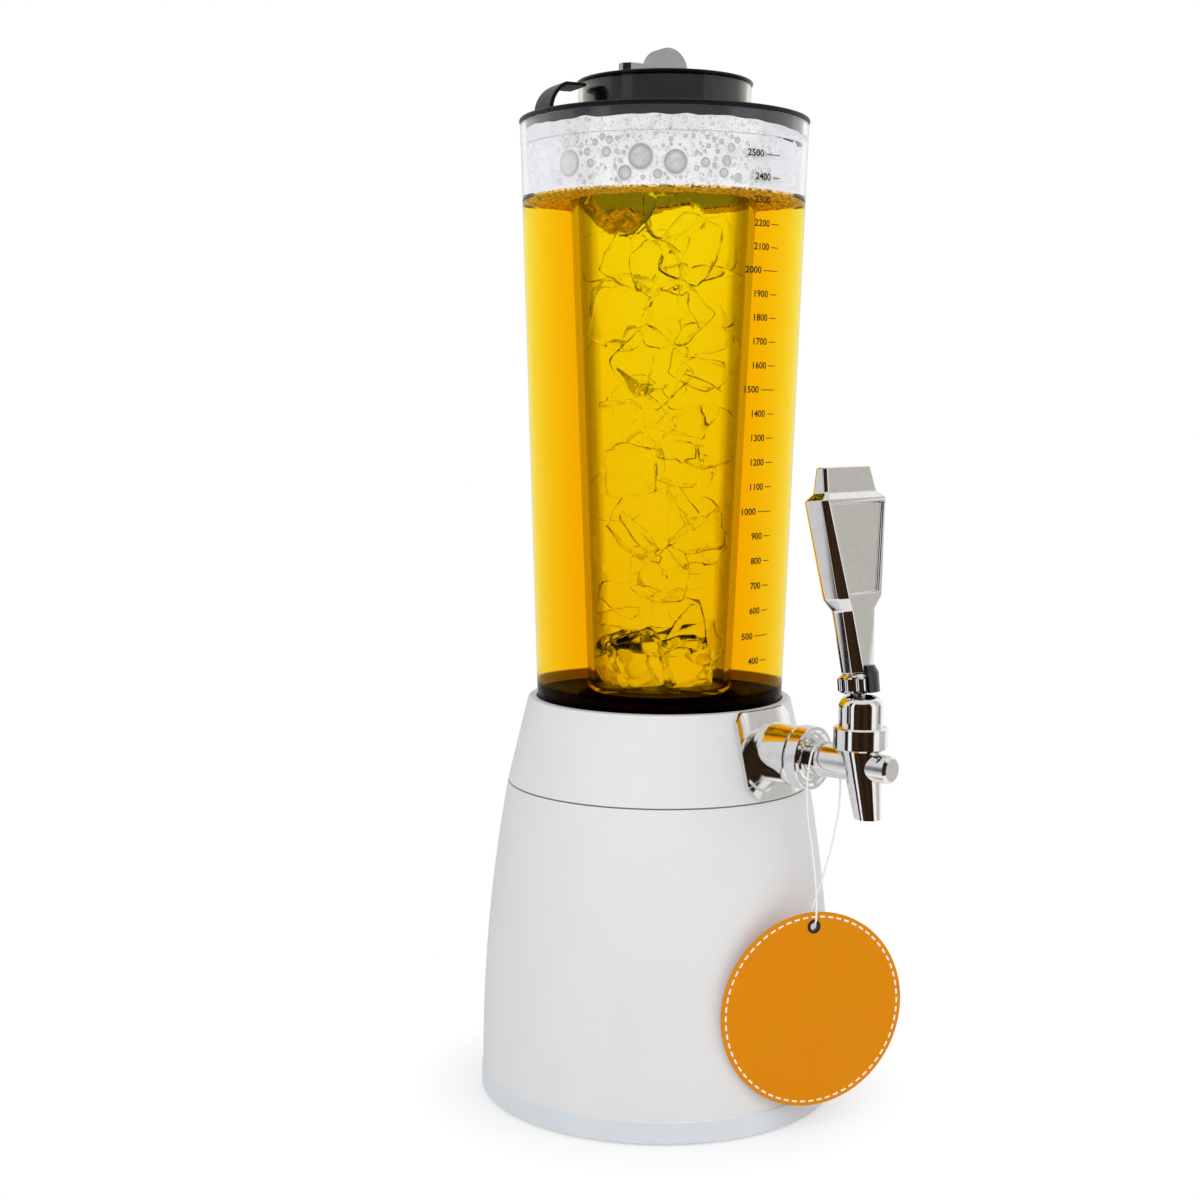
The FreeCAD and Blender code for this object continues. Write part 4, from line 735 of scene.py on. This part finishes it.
def on_tag(across, up, out):
    """Point on the card from across, up and out of its back face, in mm."""
    along = Vector((math.cos(TAG_TURN), math.sin(TAG_TURN), 0))
    facing = Vector((math.sin(TAG_TURN), -math.cos(TAG_TURN), 0))
    centre = Vector((0, -TAG_REACH, TAG_Z)) + along * TAG_SHIFT
    return (centre + along * across + facing * out + Vector((0, 0, up))) * MM


def card_shader():
    card = Shader("card", Roughness=0.8, Specular_IOR_Level=0.12)
    place = card.place()
    fibre = card.noise(place, 700.0, 6.0, 0.7)
    cloud = card.noise(place, 25.0, 2.0)
    card.set(Base_Color=card.mix(cloud, (0.655, 0.215, 0.001), (0.70, 0.245, 0.004)),
             Normal=card.bump(fibre, 0.00006, 0.5))
    return card


def add_stitch(form, middle, side, out):
    """One raised stitch across the card's edge at the angle middle, on the face that lies out mm out."""
    rows = []
    for step in range(5):
        angle = middle + STITCH_HALF * (step / 2 - 1)
        swell = STITCH_SWELL * math.sin(math.pi * (step + 0.6) / 5.2)
        row = []
        for across, lift in STITCH_PROFILE:
            radius = STITCH_R + STITCH_WIDE * across
            row.append(form.verts.new(on_tag(radius * math.sin(angle), radius * math.cos(angle),
                                             out + side * swell * lift)))
        rows.append(row)
    for before, after in zip(rows, rows[1:]):
        for left, right, far_right, far_left in zip(before, before[1:], after[1:], after):
            form.faces.new([left, right, far_right, far_left])


def make_tag():
    dress(NODES["hang_tag"], card_shader())
    form = bmesh.new()
    for side, out in ((1, TAG_THICK), (-1, 0.0)):
        for place in range(STITCHES):
            add_stitch(form, math.tau * place / STITCHES, side, out)
    stitches = from_bmesh("tag_stitches", form, crease=60.0)
    thread = Shader("thread", Base_Color=(0.88, 0.88, 0.86), Roughness=0.8)
    thread.set(Normal=thread.bump(thread.noise(thread.place(), 3000.0, 2.0), 0.0001, 0.6))
    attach(dress(stitches, thread), "tag")


STRING_ANCHOR = Vector((0, -105.5, 188.0))   # the tap's axis above the tag, from where the route is measured
STRING_ROUTE = (
    (-3.7, 1.6, -81.5), (-4.8, -0.5, -81.5), (-5.1, -1.2, -77.8), (-5.4, -1.4, -72.0),
    (-6.0, -1.3, -62.0), (-8.6, -0.7, -44.0), (-12.8, -0.1, -25.0), (-13.2, 0.0, -7.0),
    (-9.8, 0.0, 6.0), (-4.2, 0.0, 8.6), (4.2, 0.0, 8.6), (10.0, 0.0, 6.0),
    (14.8, 0.0, -6.0), (15.4, 0.1, -24.0), (10.4, 0.9, -44.0), (3.2, 2.3, -63.0),
    (-0.4, 3.7, -72.0), (-2.1, 4.2, -77.6), (-2.6, 3.6, -81.5), (-3.5, 1.9, -81.5),
)


def cotton_shader():
    cotton = Shader("cotton", Roughness=0.85, Base_Color=(0.90, 0.90, 0.89))
    lengthways = cotton.stretch(cotton.place(), (1, 1, 0.6))
    twist = cotton.node("ShaderNodeTexWave", {"Vector": lengthways, "Scale": 900.0, "Distortion": 0.6},
                        wave_type="BANDS", bands_direction="DIAGONAL")
    cotton.set(Normal=cotton.bump(twist.outputs["Fac"], 0.0002, 0.7))
    return cotton


def make_string():
    curve = bpy.data.curves.new("string", "CURVE")
    curve.dimensions = "3D"
    spline = curve.splines.new("NURBS")
    spline.points.add(len(STRING_ROUTE) - 1)
    route = [(STRING_ANCHOR + Vector(at)) * MM for at in STRING_ROUTE]
    for point, at in zip(spline.points, route):
        point.co = (*at, 1.0)
    spline.order_u = 3
    spline.use_endpoint_u = True
    curve.resolution_u = 16
    curve.bevel_depth = 0.0005
    curve.bevel_resolution = 4
    curve.use_fill_caps = True
    string = dress(link("string", curve), cotton_shader())
    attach(string, "tag")
    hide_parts("tag_string")


make_tag()
make_string()

# ---------------------------------------------------------------- stage, light and camera

BRIGHT = (1.0, 1.0, 1.0)
FLOOR_SHADE = 0.085, 0.130      # metres from the tower's axis between which the floor turns plain white


def make_stage():
    """A round floor, plain white but for the shade round the tower's foot."""
    form = bmesh.new()
    bmesh.ops.create_circle(form, cap_ends=True, segments=96, radius=6.0)
    floor = from_bmesh("floor", form)
    shader = Shader("floor", Base_Color=(0.93, 0.93, 0.93), Roughness=0.9, Specular_IOR_Level=0.1)
    glow = shader.node("ShaderNodeEmission", {"Color": BRIGHT, "Strength": 1.0})
    path = shader.node("ShaderNodeLightPath")
    seen = shader.math("MAXIMUM", path.outputs["Is Camera Ray"], path.outputs["Is Transmission Ray"])
    reach = shader.node("ShaderNodeVectorMath", {0: shader.place()}, operation="LENGTH").outputs["Value"]
    shader.cover(shader.math("MULTIPLY", seen, shader.span(reach, *FLOOR_SHADE, 0.45, 1.0)), glow)
    floor.visible_glossy = False
    dress(floor, shader)


PALE_GREY, WARM_GREY = (0.72, 0.72, 0.75), (0.58, 0.565, 0.54)
BROWN, DARK = (0.045, 0.022, 0.010), (0.016, 0.010, 0.006)
ROOF, GROUND = (0.8, 0.8, 0.8), (0.95, 0.95, 0.95)
ROOM = (                        # what mirrors show: degrees to the right of the photo's side, and colour
    (-180, PALE_GREY), (-128, BRIGHT), (-104, BRIGHT), (-98, PALE_GREY), (-78, PALE_GREY),
    (-74, DARK), (-62, DARK), (-58, BRIGHT), (-47, BRIGHT), (-43, DARK), (-26, BROWN), (-6, DARK),
    (14, BROWN), (36, DARK), (48, BROWN), (53, BRIGHT), (74, BRIGHT), (80, WARM_GREY),
    (112, WARM_GREY), (122, BRIGHT), (150, BRIGHT), (180, PALE_GREY),
)
ROOM_ENDS = (                   # upward share where each starts, and where it is full, and colour
    (0.62, 0.80, ROOF), (-0.50, -0.62, GROUND),
)
WORLD_LIGHT = 0.49              # strength of the world's white on rough surfaces


def make_world():
    """A white studio, which only mirrors show as a room with dark and bright strips."""
    world = bpy.data.worlds.new("studio")
    bpy.context.scene.world = world
    world.use_nodes = True
    sky = Tree(world.node_tree)
    path = sky.node("ShaderNodeLightPath").outputs
    not_through = sky.math("SUBTRACT", 1.0, path["Is Transmission Ray"])
    mirror = sky.math("MULTIPLY", path["Is Glossy Ray"], not_through)
    where = sky.node("ShaderNodeTexCoord").outputs["Generated"]
    turn = math.radians(CAMERA_TURN)
    right = sky.along(where, (math.cos(turn), -math.sin(turn), 0))
    near = sky.along(where, (-math.sin(turn), -math.cos(turn), 0))
    share = sky.math("ADD", sky.math("DIVIDE", sky.math("ARCTAN2", right, near), math.tau), 0.5)
    ramp = sky.node("ShaderNodeValToRGB", {"Fac": share})
    stops = ramp.color_ramp.elements
    for angle, _ in ROOM[1:-1]:
        stops.new(angle / 360 + 0.5)
    for stop, (_, colour) in zip(stops, ROOM):
        stop.color = (*colour, 1.0)
    room = ramp.outputs["Color"]
    height = sky.height(where)
    for start, full, colour in ROOM_ENDS:
        room = sky.mix(sky.span(height, start, full, interpolation_type="SMOOTHSTEP"), room, colour)
    rough = sky.math("MULTIPLY", path["Is Diffuse Ray"], WORLD_LIGHT)
    straight = sky.math("MAXIMUM", path["Is Camera Ray"], path["Is Transmission Ray"])
    back = sky.tree.nodes["Background"]
    sky.plug(back.inputs["Color"], sky.mix(mirror, BRIGHT, room))
    sky.plug(back.inputs["Strength"], sky.math("MAXIMUM", sky.math("MAXIMUM", mirror, rough), straight))


LAMP_AIM = Vector((0, 0, 0.27))     # the tower's middle, in metres


def lamp(name, turn, reach, height, size, power):
    """Soft rectangular lamp aimed at the tower; turn is in degrees to the right of the photo's side."""
    data = bpy.data.lights.new(name, "AREA")
    data.shape = "RECTANGLE"
    data.size, data.size_y = size
    data.energy = power
    angle = math.radians(CAMERA_TURN - turn)
    at = Vector((-math.sin(angle) * reach, -math.cos(angle) * reach, height))
    holder = link(name, data)
    holder.location = at
    holder.visible_glossy = False
    holder.visible_transmission = False
    holder.rotation_euler = (LAMP_AIM - at).to_track_quat("-Z", "Y").to_euler()


CAMERA_PITCH, CAMERA_ROLL = math.radians(5.92), math.radians(-0.33)
CAMERA_SIDE, CAMERA_BACK, CAMERA_HEIGHT = -0.0314, -0.990, 0.3613   # metres, before the turn round the tower
FOCAL_PIXELS, FRAME_PIXELS = 1904.0, 1200.0     # the photo's focal length and width
SENSOR_WIDTH = 36.0                             # mm


def make_camera():
    turn = math.radians(CAMERA_TURN)
    at = Vector((CAMERA_SIDE * math.cos(turn) + CAMERA_BACK * math.sin(turn),
                 -CAMERA_SIDE * math.sin(turn) + CAMERA_BACK * math.cos(turn), CAMERA_HEIGHT))
    heading = Matrix.Rotation(-turn, 3, "Z")
    tilt = Matrix.Rotation(math.pi / 2 - CAMERA_PITCH, 3, "X")
    look = heading @ tilt @ Matrix.Rotation(-CAMERA_ROLL, 3, "Z")
    data = bpy.data.cameras.new("camera")
    data.sensor_fit = "HORIZONTAL"
    data.sensor_width = SENSOR_WIDTH
    data.lens = FOCAL_PIXELS / FRAME_PIXELS * SENSOR_WIDTH
    data.clip_start = 0.05
    holder = link("camera", data)
    holder.matrix_world = Matrix.Translation(at) @ look.to_4x4()
    bpy.context.scene.camera = holder


make_stage()
make_world()
lamp("key", turn=-16.0, reach=1.4, height=0.85, size=(0.7, 0.9), power=9.5)
lamp("fill", turn=75.0, reach=1.4, height=0.6, size=(0.7, 1.1), power=4.2)
lamp("top", turn=10.0, reach=0.5, height=1.6, size=(1.0, 1.0), power=4.5)
lamp("back", turn=180.0, reach=1.5, height=0.7, size=(1.0, 1.0), power=4.0)
make_camera()

scene = bpy.context.scene
scene.view_settings.view_transform = "Standard"
scene.cycles.max_bounces = 60               # light crosses many faces of ice before it leaves the tower
scene.cycles.transmission_bounces = 56
scene.cycles.transparent_max_bounces = 16
